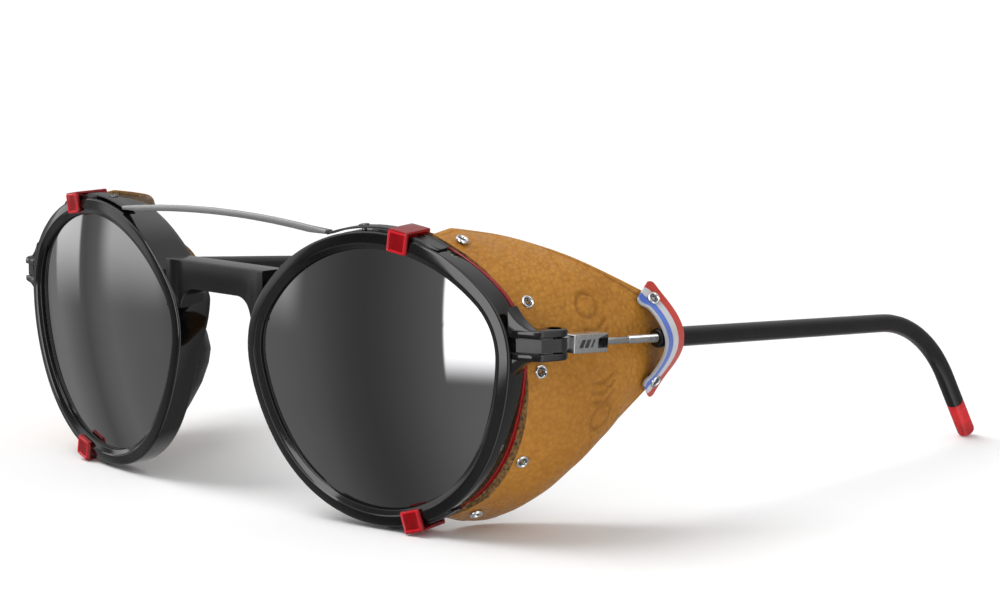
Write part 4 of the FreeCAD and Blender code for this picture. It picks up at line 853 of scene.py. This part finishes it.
# ---------------------------------------------------------------- leather form, as in the CAD
def form_share(column, part):
    """Smooth value of a column of the leather's form at a share of its depth."""
    rows = SHIELD_FORM
    last = len(rows) - 1
    index = max(i for i in range(last) if i == 0 or part > rows[i][0])

    def slope(i):
        before, after = rows[max(i - 1, 0)], rows[min(i + 1, last)]
        return (after[column] - before[column]) / (after[0] - before[0])

    step = rows[index + 1][0] - rows[index][0]
    s = (part - rows[index][0]) / step
    return ((2 * s ** 3 - 3 * s ** 2 + 1) * rows[index][column]
            + (s ** 3 - 2 * s ** 2 + s) * step * slope(index)
            + (3 * s ** 2 - 2 * s ** 3) * rows[index + 1][column]
            + (s ** 3 - s ** 2) * step * slope(index + 1))


def shield_arc(depth, thickness):
    """Centre, radius and bearings of the leather's section at a depth behind the lens plane."""
    part = min(max((depth - SHIELD_START) / (SHIELD_END - SHIELD_START), 0.0), 1.0)

    def at(column, ends):
        (front_out, front_high), (rear_out, rear_high) = ends
        return (front_out + (rear_out - front_out) * form_share(column, part),
                front_high + (rear_high - front_high) * form_share(column + 1, part))

    (ax, ay), (bx, by), (cx, cy) = at(1, SHIELD_TOP), at(3, SHIELD_SIDE), at(5, SHIELD_FOOT)
    d = 2 * (ax * (by - cy) + bx * (cy - ay) + cx * (ay - by))
    aa, bb, cc = ax * ax + ay * ay, bx * bx + by * by, cx * cx + cy * cy
    ux = (aa * (by - cy) + bb * (cy - ay) + cc * (ay - by)) / d
    uy = (aa * (cx - bx) + bb * (ax - cx) + cc * (bx - ax)) / d
    radius = math.hypot(ax - ux, ay - uy)
    return (ux, uy), radius - thickness, math.atan2(ay - uy, ax - ux), math.atan2(cy - uy, cx - ux)


def shield_point(side, depth, share, thickness=0.0):
    """Point of the leather in the lens frame, a thickness under its outer face."""
    (ux, uy), radius, high, low = shield_arc(depth, thickness)
    angle = high + (low - high) * share
    return np.array([side * (ux + radius * math.cos(angle)), uy + radius * math.sin(angle), -depth])


def shield_normal(side, depth, share):
    """Outward direction of the leather's face."""
    down = shield_point(side, depth, share + 0.02) - shield_point(side, depth, share - 0.02)
    back = shield_point(side, depth + 0.3, share) - shield_point(side, depth - 0.3, share)
    normal = np.cross(back, down)
    normal /= np.linalg.norm(normal)
    outward = shield_point(side, depth, share) - shield_point(side, depth, share, 1.0)
    return normal if normal.dot(outward) > 0 else -normal


def pressed(a, b):
    """Depth of a plain pressed column of rings and chevrons, from 0 to 1.

    a runs down the leather and b back along it, in millimetres from the column's middle.
    """
    depth = 0.0

    def bar(a0, a1, b0, b1, wide):
        length = math.hypot(a1 - a0, b1 - b0)
        t = min(max(((a - a0) * (a1 - a0) + (b - b0) * (b1 - b0)) / length ** 2, 0.0), 1.0)
        gap = math.hypot(a - a0 - t * (a1 - a0), b - b0 - t * (b1 - b0))
        return max(0.0, 1 - (gap / wide) ** 4)

    for centre in (-9.6, 9.2):
        gap = abs(math.hypot(a - centre, b) - 2.1)
        depth = max(depth, max(0.0, 1 - (gap / 0.40) ** 4))
    for start in (-6.2, 2.6):
        for k in range(3):
            place = start + k * 1.6
            near, far = bar(place, place + 1.0, -2.3, 0.0, 0.33), bar(place + 1.0, place, 0.0, 2.3, 0.33)
            depth = max(depth, near, far)
    return depth


def fall(gap, wide):
    """Bell curve that is 1 at no gap."""
    return math.exp(-(gap / wide) ** 2)


def leather_piece(word, side):
    """Leather with swells, creases, a sewn groove, pressed marks and softened, burnished edges."""
    across, deep = 210, 150
    depths = [SHIELD_START + (SHIELD_END - SHIELD_START) * (k / (deep - 1)) ** 1.1 for k in range(deep)]
    outer, inner, burnish, press = [], [], [], []
    seed = Vector((3.7 * side, 1.3, 8.1))
    for depth in depths:
        (_, _), radius, high, low = shield_arc(depth, 0.0)
        length = radius * abs(high - low)
        for k in range(across):
            share = k / (across - 1)
            point = shield_point(side, depth, share)
            back = shield_point(side, depth, share, LEATHER * 0.92)
            outward = (point - back) / np.linalg.norm(point - back)
            run = share * length
            rear_gap = SHIELD_END - depth
            edge = min(run, length - run, rear_gap, (depth - SHIELD_START) + 0.3)
            soft = 0.30 * max(0.0, 1 - edge / 0.55) ** 2
            place = Vector((side * point[0], point[1], point[2]))
            swell = 0.34 * noise.fractal(place * 0.10 + seed, 1.0, 2.0, 2)
            crease_field = noise.noise(Vector((run * 0.10, depth * 0.22, 2.0)) + seed)
            crease = -0.16 * fall(crease_field, 0.035) * min(1.0, edge / 4)
            seam = -0.20 * fall(run - 1.7, 0.28) * min(1.0, max(0.0, rear_gap - 2) / 3)
            foot_seam = -0.08 * fall(length - run - 0.9, 0.22)
            stamp = pressed(run - length * 0.5, depth - 19.5) if depth < 30 else 0.0
            fade = min(1.0, max(edge - 0.5, 0) / 2.5)
            stay = min(1.0, max(0.0, depth - 10.5) / 4.0)
            offset = (swell * fade * stay + crease * stay + seam + foot_seam) - soft - 0.30 * stamp * fade
            # the front corners hug the rim, and the front edge is pared thin
            ahead = max(0.0, 1 - (depth - SHIELD_START) / 4.0)
            end = max(0.0, 1 - share / 0.20, 1 - (1 - share) / 0.16)
            offset -= 1.05 * end * ahead
            forward = np.array([0.0, 0.0, 0.9 * min(1.0, 2 * end) * ahead])
            outer.append(point + outward * offset + forward)
            thin = 0.45 * max(0.0, 1 - (depth - SHIELD_START) / 1.2)
            tuck = soft * 0.8 + 0.10 * noise.noise(place * 1.4 + seed) * fade + thin - 0.55 * end * ahead
            inner.append(back + outward * tuck + forward)
            dark = max(0.0, 1 - edge / 0.38) * 0.85 + 0.42 * fall(run - 1.7, 0.30) * stay
            burnish.append(min(1.0, dark))
            press.append(stamp * fade)
    grid = np.array(outer).reshape(deep, across, 3)
    back = np.array(inner).reshape(deep, across, 3)
    points, faces = skin(np.concatenate([grid, back[:, ::-1]], 1))
    each = 2 * across
    marks = [0 if index % each < across - 1 else 1 for index in range((deep - 1) * each)] + [1, 1]
    mesh = bpy.data.meshes.new("leather_" + word)
    mesh.from_pydata([tuple(p) for p in world(from_lens(side, points))], [], faces)
    mesh.polygons.foreach_set("material_index", marks)
    for key, values in (("burnish", burnish), ("press", press)):
        front = np.array(values).reshape(deep, across)
        point_values(mesh, key, np.concatenate([front, np.zeros_like(front)], 1))
    work = bmesh.new()
    work.from_mesh(mesh)
    bmesh.ops.recalc_face_normals(work, faces=work.faces)
    for face in work.faces:
        face.smooth = len(face.verts) < 5
    work.to_mesh(mesh)
    work.free()
    piece = placed_object("leather_" + word, mesh)
    mesh.materials.append(TAN)
    mesh.materials.append(LINING)
    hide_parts("leather_shield_" + word)
    start, end = world([side * 63.5, 17.0, 31.9]), world([side * 63.5, 32.5, 31.9])
    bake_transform(piece)


for word, side in SIDES.items():
    leather_piece(word, side)


# ---------------------------------------------------------------- rivets
def rivet_shells(place, grip):
    """Hollow rivet: bright rolled head, and a dark cup with three lobes in its bore that runs on down the
    shank into the rolled back; the cup's darkness in the bore is painted shade.
    """
    ring = [(0.62, -0.10), (0.66, 0.12), (0.74, 0.30), (0.86, 0.39), (0.98, 0.38), (1.08, 0.30), (1.15, 0.14),
            (1.15, 0.02), (1.10, 0.0), (0.66, 0.0)]
    # cup, shank and back are dark steel; the dark cup in the bore is painted shade of the hollow
    cup = [(0.05, -0.22), (0.16, -0.20), (0.24, -0.02), (0.36, 0.16), (0.50, 0.20), (0.60, 0.10),
           (0.68, -0.02), (0.60, -0.10), (0.59, -grip + 0.05), (0.90, -grip), (0.97, -grip - 0.12),
           (0.90, -grip - 0.34), (0.60, -grip - 0.40), (0.30, -grip - 0.2), (0.05, -grip + 0.2)]

    def lobes(radius, level, angles):
        return 0.10 * np.cos(3 * angles) if 0.2 < radius < 0.55 and level > -0.1 else 0.0

    return [(*lathe(ring, place, 48, loop=True), 0), (*lathe(cup, place, 48, lobes), 1)]


def lens_aim(side, depth, share):
    """Map from local points to a place on the leather, Z outwards."""
    point = from_lens(side, shield_point(side, depth, share))
    tip = from_lens(side, shield_point(side, depth, share) + shield_normal(side, depth, share))
    return aimed(point, tip - point)


for word, side in SIDES.items():
    shells = []
    for behind, share in RIVETS:
        shells += rivet_shells(lens_aim(side, CARRIER_BACK + behind, share), 2.1)
    make("shield_studs_" + word, shells, "front", [CHROME, DARK_STEEL_AND_BORE_SHADE], "shield_rivets_" + word)


# ---------------------------------------------------------------- ribbons
def to_lens(side, points):
    """Lens-frame coordinates of points."""
    out, up, ahead = lens_axes(side)
    local = np.asarray(points, float) - lens_centre(side)
    return np.stack([local @ out, local @ up, local @ ahead], -1)


def leather_out(side, back, high):
    """How far outside the temple's axis the leather lies beside the temple."""
    out = 0.0
    for _ in range(14):
        local = to_lens(side, from_temple(side, [side * out, back, on_axis(back)[2] + high]))
        (ux, uy), radius, _, _ = shield_arc(-local[2], 0.0)
        out += ux + math.sqrt(max(radius ** 2 - (local[1] - uy) ** 2, 0.0)) - side * local[0]
    return out


def ribbon_knots(side):
    """Ends, rivets and middle of the ribbon: on the leather above and below, and over the sleeve."""
    above, low = 1.1, 0.55
    knots = []
    for back, high, over in ((24.9, 8.1 - low, None), (26.3, 6.7 - low, None),
                             (26.1, 0.0, SLEEVE_RADIUS + above),
                             (26.3, -6.7 - low, None), (24.9, -8.4 - low, None)):
        out = leather_out(side, back, high) + above if over is None else over
        knots.append(np.array([side * out, back, on_axis(back)[2] + high]))
    return knots


def spline(knots, count):
    """Points and directions along the natural cubic through the knots by chord length."""
    knots = np.array(knots)
    t = np.concatenate([[0], np.cumsum(np.linalg.norm(np.diff(knots, axis=0), axis=1))])
    n = len(t)
    h = np.diff(t)
    matrix = np.zeros((n, n))
    right = np.zeros((n, 3))
    matrix[0, 0] = matrix[-1, -1] = 1
    for i in range(1, n - 1):
        matrix[i, i - 1], matrix[i, i], matrix[i, i + 1] = h[i - 1], 2 * (h[i - 1] + h[i]), h[i]
        right[i] = 6 * ((knots[i + 1] - knots[i]) / h[i] - (knots[i] - knots[i - 1]) / h[i - 1])
    second = np.linalg.solve(matrix, right)
    places, ways = [], []
    for s in np.linspace(0, t[-1], count):
        i = min(max(np.searchsorted(t, s) - 1, 0), n - 2)
        a, b = (t[i + 1] - s) / h[i], (s - t[i]) / h[i]
        places.append(a * knots[i] + b * knots[i + 1]
                      + ((a ** 3 - a) * second[i] + (b ** 3 - b) * second[i + 1]) * h[i] ** 2 / 6)
        ways.append((knots[i + 1] - knots[i]) / h[i]
                    + ((3 * b * b - 1) * second[i + 1] - (3 * a * a - 1) * second[i]) * h[i] / 6)
    ways = np.array(ways)
    return np.array(places), ways / np.linalg.norm(ways, axis=1, keepdims=True)


def ribbon_tilt(side, knots, places):
    """Direction across the ribbon at each place: along the leather at its ends, back in its middle."""
    heights = [knot[2] - on_axis(knot[1])[2] for knot in knots]
    slopes, reach, steepest = [], 1.2, 0.9
    for knot, high in zip(knots, heights):
        lift = leather_out(side, knot[1] + reach, high) - leather_out(side, knot[1] - reach, high)
        slopes.append(0.0 if abs(high) < 1 else max(-steepest, min(steepest, lift / (2 * reach))))
    level = [place[2] - on_axis(place[1])[2] for place in places]
    tilt = np.interp(level, heights[::-1], slopes[::-1])
    return np.column_stack([side * tilt, np.ones(len(places)), np.zeros(len(places))])


def ribbon_piece(word, side):
    """Ribbon strip with the weave's coordinates on its points, and its two rivets."""
    knots = ribbon_knots(side)
    places, ways = spline(knots, 90)
    tilts = ribbon_tilt(side, knots, places)

    def facing(index):
        """Directions across the ribbon and out of it at one of its places."""
        width = tilts[index] - ways[index] * ways[index].dot(tilts[index])
        width /= np.linalg.norm(width)
        normal = np.cross(width, ways[index])
        return width, normal * (1 if normal[0] * side > 0 else -1)

    half, thick = 2.3, 0.22
    corners = [(-half, -thick, 0.12), (half, -thick, 0.12), (half, thick, 0.12), (-half, thick, 0.12)]
    section = rounded(corners, 0.1, 2)
    dense = []
    for i in range(len(section)):
        a, b = section[i], section[(i + 1) % len(section)]
        steps = max(1, int(np.linalg.norm(b - a) / 0.15))
        dense += [a + (b - a) * k / steps for k in range(steps)]
    section = np.array(dense)
    rings, across, along = [], [], []
    run = 0.0
    for i, place in enumerate(places):
        width, normal = facing(i)
        run += np.linalg.norm(places[i] - places[i - 1]) if i else 0.0
        end = min(i, len(places) - 1 - i)
        narrow = 1 - 0.22 * max(0.0, 1 - end / 4.0) ** 2
        rings.append([place + width * u * narrow + normal * w for u, w in section])
        across += [(u + half) / (2 * half) for u, _ in section]
        along += [run] * len(section)
    body = "temple_" + word
    strip = [laid(from_temple, side, skin(rings))]
    piece = make("ribbon_strip_" + word, strip, body, [RIBBON], "ribbon_" + word)
    point_values(piece.data, "across", across)
    point_values(piece.data, "along", along)
    shells = []
    for knot in (knots[1], knots[3]):
        _, normal = facing(int(np.argmin(np.linalg.norm(places - knot, axis=1))))
        start = from_temple(side, knot + normal * 0.24)
        tip = from_temple(side, knot + normal * 1.24)
        shells += rivet_shells(aimed(start, tip - start), 2.95)
    make("ribbon_studs_" + word, shells, body, [CHROME, DARK_STEEL_AND_BORE_SHADE], "ribbon_rivets_" + word)


for word, side in SIDES.items():
    ribbon_piece(word, side)


# ---------------------------------------------------------------- clip-on
# distance outwards and turn in degrees of the upper hook, True, and the lower one
HOOKS = {True: (6.2, -9.0), False: (7.6, 196.0)}
HOOK_HALF, HOOK_WALL, HOOK_REACH, HOOK_RUBBER = 1.9, 0.75, 2.6, 0.45


def edge_arc(upper):
    """Centre and radius of the brow arc or the lower arc, as distances outwards and above the lens centre."""
    radius = ARC_TOP if upper else ARC_BOTTOM
    middle = RIM_TOP - radius if upper else radius - RIM_BOTTOM
    return -math.sin(LEAN) * middle, math.cos(LEAN) * middle, radius


def rim_edge(out, upper):
    """Height of the rim outline above the lens centre at a distance outwards."""
    centre_x, centre_y, radius = edge_arc(upper)
    rise = math.sqrt(radius ** 2 - (out - centre_x) ** 2)
    return centre_y + rise if upper else centre_y - rise


def hook_shells(side, upper):
    """Hook bent over the rim's edge, with a raised border round its front in a lighter red, a painted
    highlight on the hook's front edges.
    """
    out, turn = HOOKS[upper]
    edge = rim_edge(out, upper)
    turn = math.radians(side * turn)
    cos, sin = math.cos(turn), math.sin(turn)
    crown = SAG - (out ** 2 + edge ** 2) / (2 * FACE_SPHERE)
    front = crown + 0.15
    back = -CARRIER_BACK
    top = HOOK_RUBBER + HOOK_WALL
    view = [(-HOOK_REACH, front, 0.1), (HOOK_RUBBER, front, 0.1), (HOOK_RUBBER, back + 0.9, 0.1),
            (-HOOK_REACH, back + 0.9, 0.1), (-HOOK_REACH, back, 0.3), (top, back, 0.35),
            (top, front + HOOK_WALL, 0.30), (-HOOK_REACH, front + HOOK_WALL, 0.22)]
    points, faces = slab(rounded(view, 0.1, 4), -HOOK_HALF, HOOK_HALF, 0.26, 4)
    local = np.column_stack([points[:, 2], points[:, 0], points[:, 1]])
    wide, low, high = HOOK_HALF - 0.12, -HOOK_REACH + 0.12, top - 0.25
    border = rounded([(-wide, low), (wide, low), (wide, high), (-wide, high)], 0.35, 4)
    face = front + HOOK_WALL
    loops = [(0.0, face - 0.05), (0.02, face + 0.08),
             (0.14, face + 0.14), (0.34, face + 0.10), (0.42, face - 0.05)]
    # the raised border takes the lighter red, a painted highlight round the hook's front
    raised, raised_faces = skin([np.column_stack([inset(border, move), np.full(len(border), level)])
                                 for move, level in loops], loop=True)
    shells = [(local, faces), (raised, raised_faces)]
    placed = []
    for mark, (points, faces) in enumerate(shells):
        x = points[:, 0] * cos - points[:, 1] * sin + side * out
        y = points[:, 0] * sin + points[:, 1] * cos + edge
        placed.append((from_lens(side, np.column_stack([x, y, points[:, 2]])), faces, mark))
    return placed


def share_at(depth, height, thickness):
    """Share of the way down the leather's section at which it has a height."""
    (_, uy), radius, high, low = shield_arc(depth, thickness)
    angle = math.asin(min(max((height - uy) / radius, -1.0), 1.0))
    return (high - angle) / (high - low)


def flange_shells(side):
    """Two tongues under the leather, above and below the hinge."""
    gap, thick = LEATHER + 0.2, 0.85
    shells = []
    for upper in (True, False):
        rings = []
        for depth in np.linspace(CARRIER_BACK - 0.5, CARRIER_BACK + 5.0, 14):
            form = max(depth, SHIELD_START)
            if upper:
                first, last = 0.03, share_at(form, 12.0, gap)
            else:
                first, last = share_at(form, 3.2, gap), 0.97
            shares = np.linspace(first, last, 40)
            outer = [shield_point(side, form, s, gap) for s in shares]
            inner = [shield_point(side, form, s, gap + thick) for s in shares[::-1]]
            ring = np.array(outer + inner)
            ring[:, 2] = -depth
            rings.append(ring)
        shells.append(laid(from_lens, side, skin(rings)))
    return shells


def carrier_shells(side):
    """Strip behind the rim, two tongues and two hooks."""
    start = 4.3
    section = rounded([(-0.05, start, 0.12), (2.6, start, 0.12), (2.6, CARRIER_BACK, 0.12),
                       (-0.05, CARRIER_BACK, 0.12)], 0.1, 3)
    reach = HOOKS[True][0] - HOOK_HALF
    strip = laid(from_lens, side, skin(rim_sweep(side, section, keep=lambda x, y: x > reach)))
    return [strip] + flange_shells(side) + hook_shells(side, True) + hook_shells(side, False)


def pad_shells(side, upper):
    """Tray-like rubber pad that follows the rim's edge on both sides of its hook."""
    out = HOOKS[upper][0]
    low, high = out - HOOK_HALF - 5.4, out + HOOK_HALF + 5.4
    front, back = 0.45, RIM_DEPTH - 0.35
    section = rounded([(0.0, front, 0.05), (0.0, back, 0.05), (-0.5, back, 0.12), (-0.5, back - 0.35, 0.1),
                       (-0.34, back - 0.5, 0.1), (-0.34, front + 0.5, 0.1), (-0.5, front + 0.35, 0.1),
                       (-0.5, front, 0.12)], 0.1, 3)
    rings = rim_sweep(side, section, keep=lambda x, y: (x > low) & (x < high) & ((y > 0) == upper))
    middle = rings.mean(1, keepdims=True)
    for k, share in ((0, 0.75), (1, 0.95)):
        rings[k] = middle[k] + (rings[k] - middle[k]) * share
        rings[-1 - k] = middle[-1 - k] + (rings[-1 - k] - middle[-1 - k]) * share
    return [laid(from_lens, side, skin(rings))]


def bar_shells():
    """Steel bar over the bridge: flat arch whose ends widen into a foot on each brow."""
    span, rise, ends, tall, thick, front = 26.3, 49.0, 47.5, 1.1, 0.8, 0.1
    radius = (span ** 2 + (rise - ends) ** 2) / (2 * (rise - ends))
    rings = []
    for x in np.linspace(-span, span, 71):
        top = rise - radius + math.sqrt(radius ** 2 - x ** 2)
        end = max(0.0, 1 - (span - abs(x)) / 4.0)
        low = top - tall * (1 - 0.4 * end)
        ring = rounded([(front, low, 0.15), (front, top, 0.18), (front + thick + 0.8 * end, top, 0.15),
                        (front + thick + 0.8 * end, low, 0.15)], 0.1, 3)
        rings.append(np.column_stack([np.full(len(ring), x), ring]))
    shells = [(*skin(rings), 0)]
    for side in SIDES.values():
        section = rounded([(-0.36, 1.0, 0.1), (-0.72, 1.0, 0.15), (-0.72, 3.2, 0.15), (-0.36, 3.2, 0.1)],
                          0.1, 3)
        rings = rim_sweep(side, section, keep=lambda x, y: (x > -9.9) & (x < 4.2) & (y > 0))
        shells.append(laid(from_lens, side, skin(rings), 1))
    return shells


def screw_shell(side):
    """Low round head on the bar's foot, with a small dip in its middle."""
    head = [(0.05, -0.9), (0.42, -0.9), (0.42, 0.0), (0.88, 0.0), (0.90, 0.08), (0.80, 0.20), (0.5, 0.25),
            (0.34, 0.24), (0.30, 0.10), (0.05, 0.08)]
    out, foot_top = -2.9, 0.72
    centre_x, centre_y, _ = edge_arc(True)
    foot = np.array([side * out, rim_edge(out, True), -RIM_DEPTH / 2])
    up = np.array([side * (out - centre_x), foot[1] - centre_y, 0.0])
    up /= np.linalg.norm(up)
    start = from_lens(side, foot + up * foot_top)
    return (*lathe(head, aimed(start, from_lens(side, foot + up * (foot_top + 1)) - start), 32), 0)


for word, side in SIDES.items():
    red = [RUBY, RUBY_PAINTED_HIGHLIGHT]
    make("ruby_carrier_" + word, carrier_shells(side), "front", red, "clip_carrier_" + word)
    for upper, place in ((True, "top_"), (False, "bottom_")):
        make("tray_pad_" + place + word, pad_shells(side, upper), "front", [RUBBER],
             "clip_rubber_" + place + word)
    make("low_screw_" + word, [screw_shell(side)], "front", [DARK_STEEL_AND_BORE_SHADE], "bar_screw_" + word)
make("steel_bar", bar_shells(), "front", [BAR, FOOT_STEEL], "clip_bar")


# ---------------------------------------------------------------- floor, light, camera
def floor_material():
    """Matt pale floor."""
    mat, tree, shader = material("pale_floor", (0.93, 0.93, 0.93), 0.9)
    cloud = noise_node(tree, 3, 2.0)
    color = ramp(tree, cloud.outputs["Fac"], [(0.3, (0.925, 0.925, 0.925)), (0.7, (0.935, 0.935, 0.935))])
    tree.links.new(color, shader.inputs["Base Color"])
    return mat


floor_mesh = bpy.data.meshes.new("floor")
floor_mesh.from_pydata([(-12, -12, 0), (12, -12, 0), (12, 12, 0), (-12, 12, 0)], [], [(0, 1, 2, 3)])
floor = placed_object("floor", floor_mesh)
floor_mesh.materials.append(floor_material())
floor.visible_glossy = False


def lamp(name, kind, energy, way):
    """Light that shines along a direction and shows in no reflection."""
    data = bpy.data.lights.new(name, kind)
    data.energy = energy
    item = placed_object(name, data)
    item.rotation_euler = Vector(way).to_track_quat("-Z", "Y").to_euler()
    item.visible_glossy = False
    return item


FILL_BEARING, FILL_HEIGHT, FILL_AWAY, FILL_SIZE, FILL_RADIANCE = math.radians(-62), 0.55, 1.1, 0.8, 0.55
fill_place = Vector((-FILL_AWAY * math.sin(FILL_BEARING), -FILL_AWAY * math.cos(FILL_BEARING), FILL_HEIGHT))
fill_way = Vector((0, 0, 0.02)) - fill_place
fill = lamp("fill", "AREA", FILL_RADIANCE * math.pi * FILL_SIZE * FILL_SIZE, fill_way)
fill.location = fill_place
fill.data.shape = "RECTANGLE"
fill.data.size, fill.data.size_y = FILL_SIZE, FILL_SIZE
key = lamp("key", "SUN", 1.9, (0.42, 0.30, -0.86))
key.data.angle = math.radians(38)

# reflected room by bearing, in degrees from the front towards the wearer's right
ROOM = [(-180, 0.25), (-120, 0.45), (-85, 1.3), (-72, 2.4), (-60, 1.3), (-40, 0.45), (-12, 0.40), (5, 0.42),
        (10, 0.38), (15, 0.31), (21, 0.22), (26, 0.165), (30, 0.145), (34, 0.165), (38, 0.21), (43, 0.29),
        (49, 0.35), (57, 0.38), (63, 0.44), (68, 0.36), (73, 0.24), (79, 0.36), (85, 0.48), (90, 0.44),
        (95, 0.18), (120, 0.35), (150, 0.6), (180, 0.25)]


def calc(tree, operation, first, second=None):
    """Result of a sum on sockets or numbers."""
    item = node(tree, "ShaderNodeMath", operation=operation)
    for socket, value in zip(item.inputs, (first, second)):
        if isinstance(value, bpy.types.NodeSocket):
            tree.links.new(value, socket)
        elif value is not None:
            socket.default_value = value
    return item.outputs[0]


def soft_step(tree, source, low, high):
    """Smooth rise from 0 at low to 1 at high."""
    item = node(tree, "ShaderNodeMapRange", interpolation_type="SMOOTHSTEP", From_Min=low, From_Max=high)
    tree.links.new(source, item.inputs["Value"])
    return item.outputs["Result"]


def panel(tree, bearing, height, sides, edge, foot, rise, strength):
    """Soft-edged bright panel between two bearings, fading in upwards from a foot."""
    left = soft_step(tree, bearing, sides[0] - edge, sides[0] + edge)
    right = soft_step(tree, bearing, sides[1] + edge, sides[1] - edge)
    tall = soft_step(tree, height, foot, foot + rise)
    return calc(tree, "MULTIPLY", calc(tree, "MULTIPLY", left, right), calc(tree, "MULTIPLY", tall, strength))


world_data = bpy.data.worlds.new("studio")
bpy.context.scene.world = world_data
world_data.use_nodes = True
tree = world_data.node_tree
background = tree.nodes["Background"]
background.inputs["Color"].default_value = (1, 1, 1, 1)
background.inputs["Strength"].default_value = 0.64
room = node(tree, "ShaderNodeBackground")
coords = node(tree, "ShaderNodeTexCoord")
split = node(tree, "ShaderNodeSeparateXYZ")
tree.links.new(coords.outputs["Generated"], split.inputs[0])
turned = calc(tree, "ARCTAN2", calc(tree, "MULTIPLY", split.outputs["X"], -1.0),
              calc(tree, "MULTIPLY", split.outputs["Y"], -1.0))
bearing = calc(tree, "MULTIPLY", turned, math.degrees(1))
height = calc(tree, "MULTIPLY", calc(tree, "ARCSINE", split.outputs["Z"]), math.degrees(1))
share = calc(tree, "DIVIDE", calc(tree, "ADD", bearing, 180.0), 360.0)
base = ramp(tree, share, [((angle + 180) / 360, (tone / 4,) * 3) for angle, tone in ROOM])
light = calc(tree, "MULTIPLY", base, 4.0)
for settings in (((-12.0, 12.6), 0.35, -13.5, 5.5, 4.2), ((46.5, 66.0), 3.0, -8.5, 10.0, 1.0),
                 ((75.5, 86.5), 0.6, -9.0, 9.0, 1.5), ((-200.0, 200.0), 1.0, 14.0, 40.0, 0.7)):
    light = calc(tree, "ADD", light, panel(tree, bearing, height, *settings))
tree.links.new(light, room.inputs["Strength"])
path = node(tree, "ShaderNodeLightPath")
blend_node = node(tree, "ShaderNodeMixShader")
tree.links.new(path.outputs["Is Glossy Ray"], blend_node.inputs[0])
tree.links.new(background.outputs[0], blend_node.inputs[1])
tree.links.new(room.outputs[0], blend_node.inputs[2])
tree.links.new(blend_node.outputs[0], tree.nodes["World Output"].inputs["Surface"])

bpy.context.scene.view_settings.view_transform = "Standard"
bpy.context.scene.view_settings.look = "None"

camera_data = bpy.data.cameras.new("camera")
camera_data.sensor_width = 36.0
camera_data.lens = 92.36
camera_data.clip_start = 0.01
camera_data.clip_end = 50.0
camera = placed_object("camera", camera_data)
YAW, PITCH = math.radians(43.63), math.radians(8.22)
ahead = Vector((-math.sin(YAW) * math.cos(PITCH), math.cos(YAW) * math.cos(PITCH), -math.sin(PITCH)))
right = Vector((math.cos(YAW), math.sin(YAW), 0.0))
above = right.cross(ahead)
turn = Matrix((right, above, -ahead)).transposed().to_4x4()
camera.matrix_world = Matrix.Translation(Vector(world([330.42, -278.04, 96.08]))) @ turn
bpy.context.scene.camera = camera
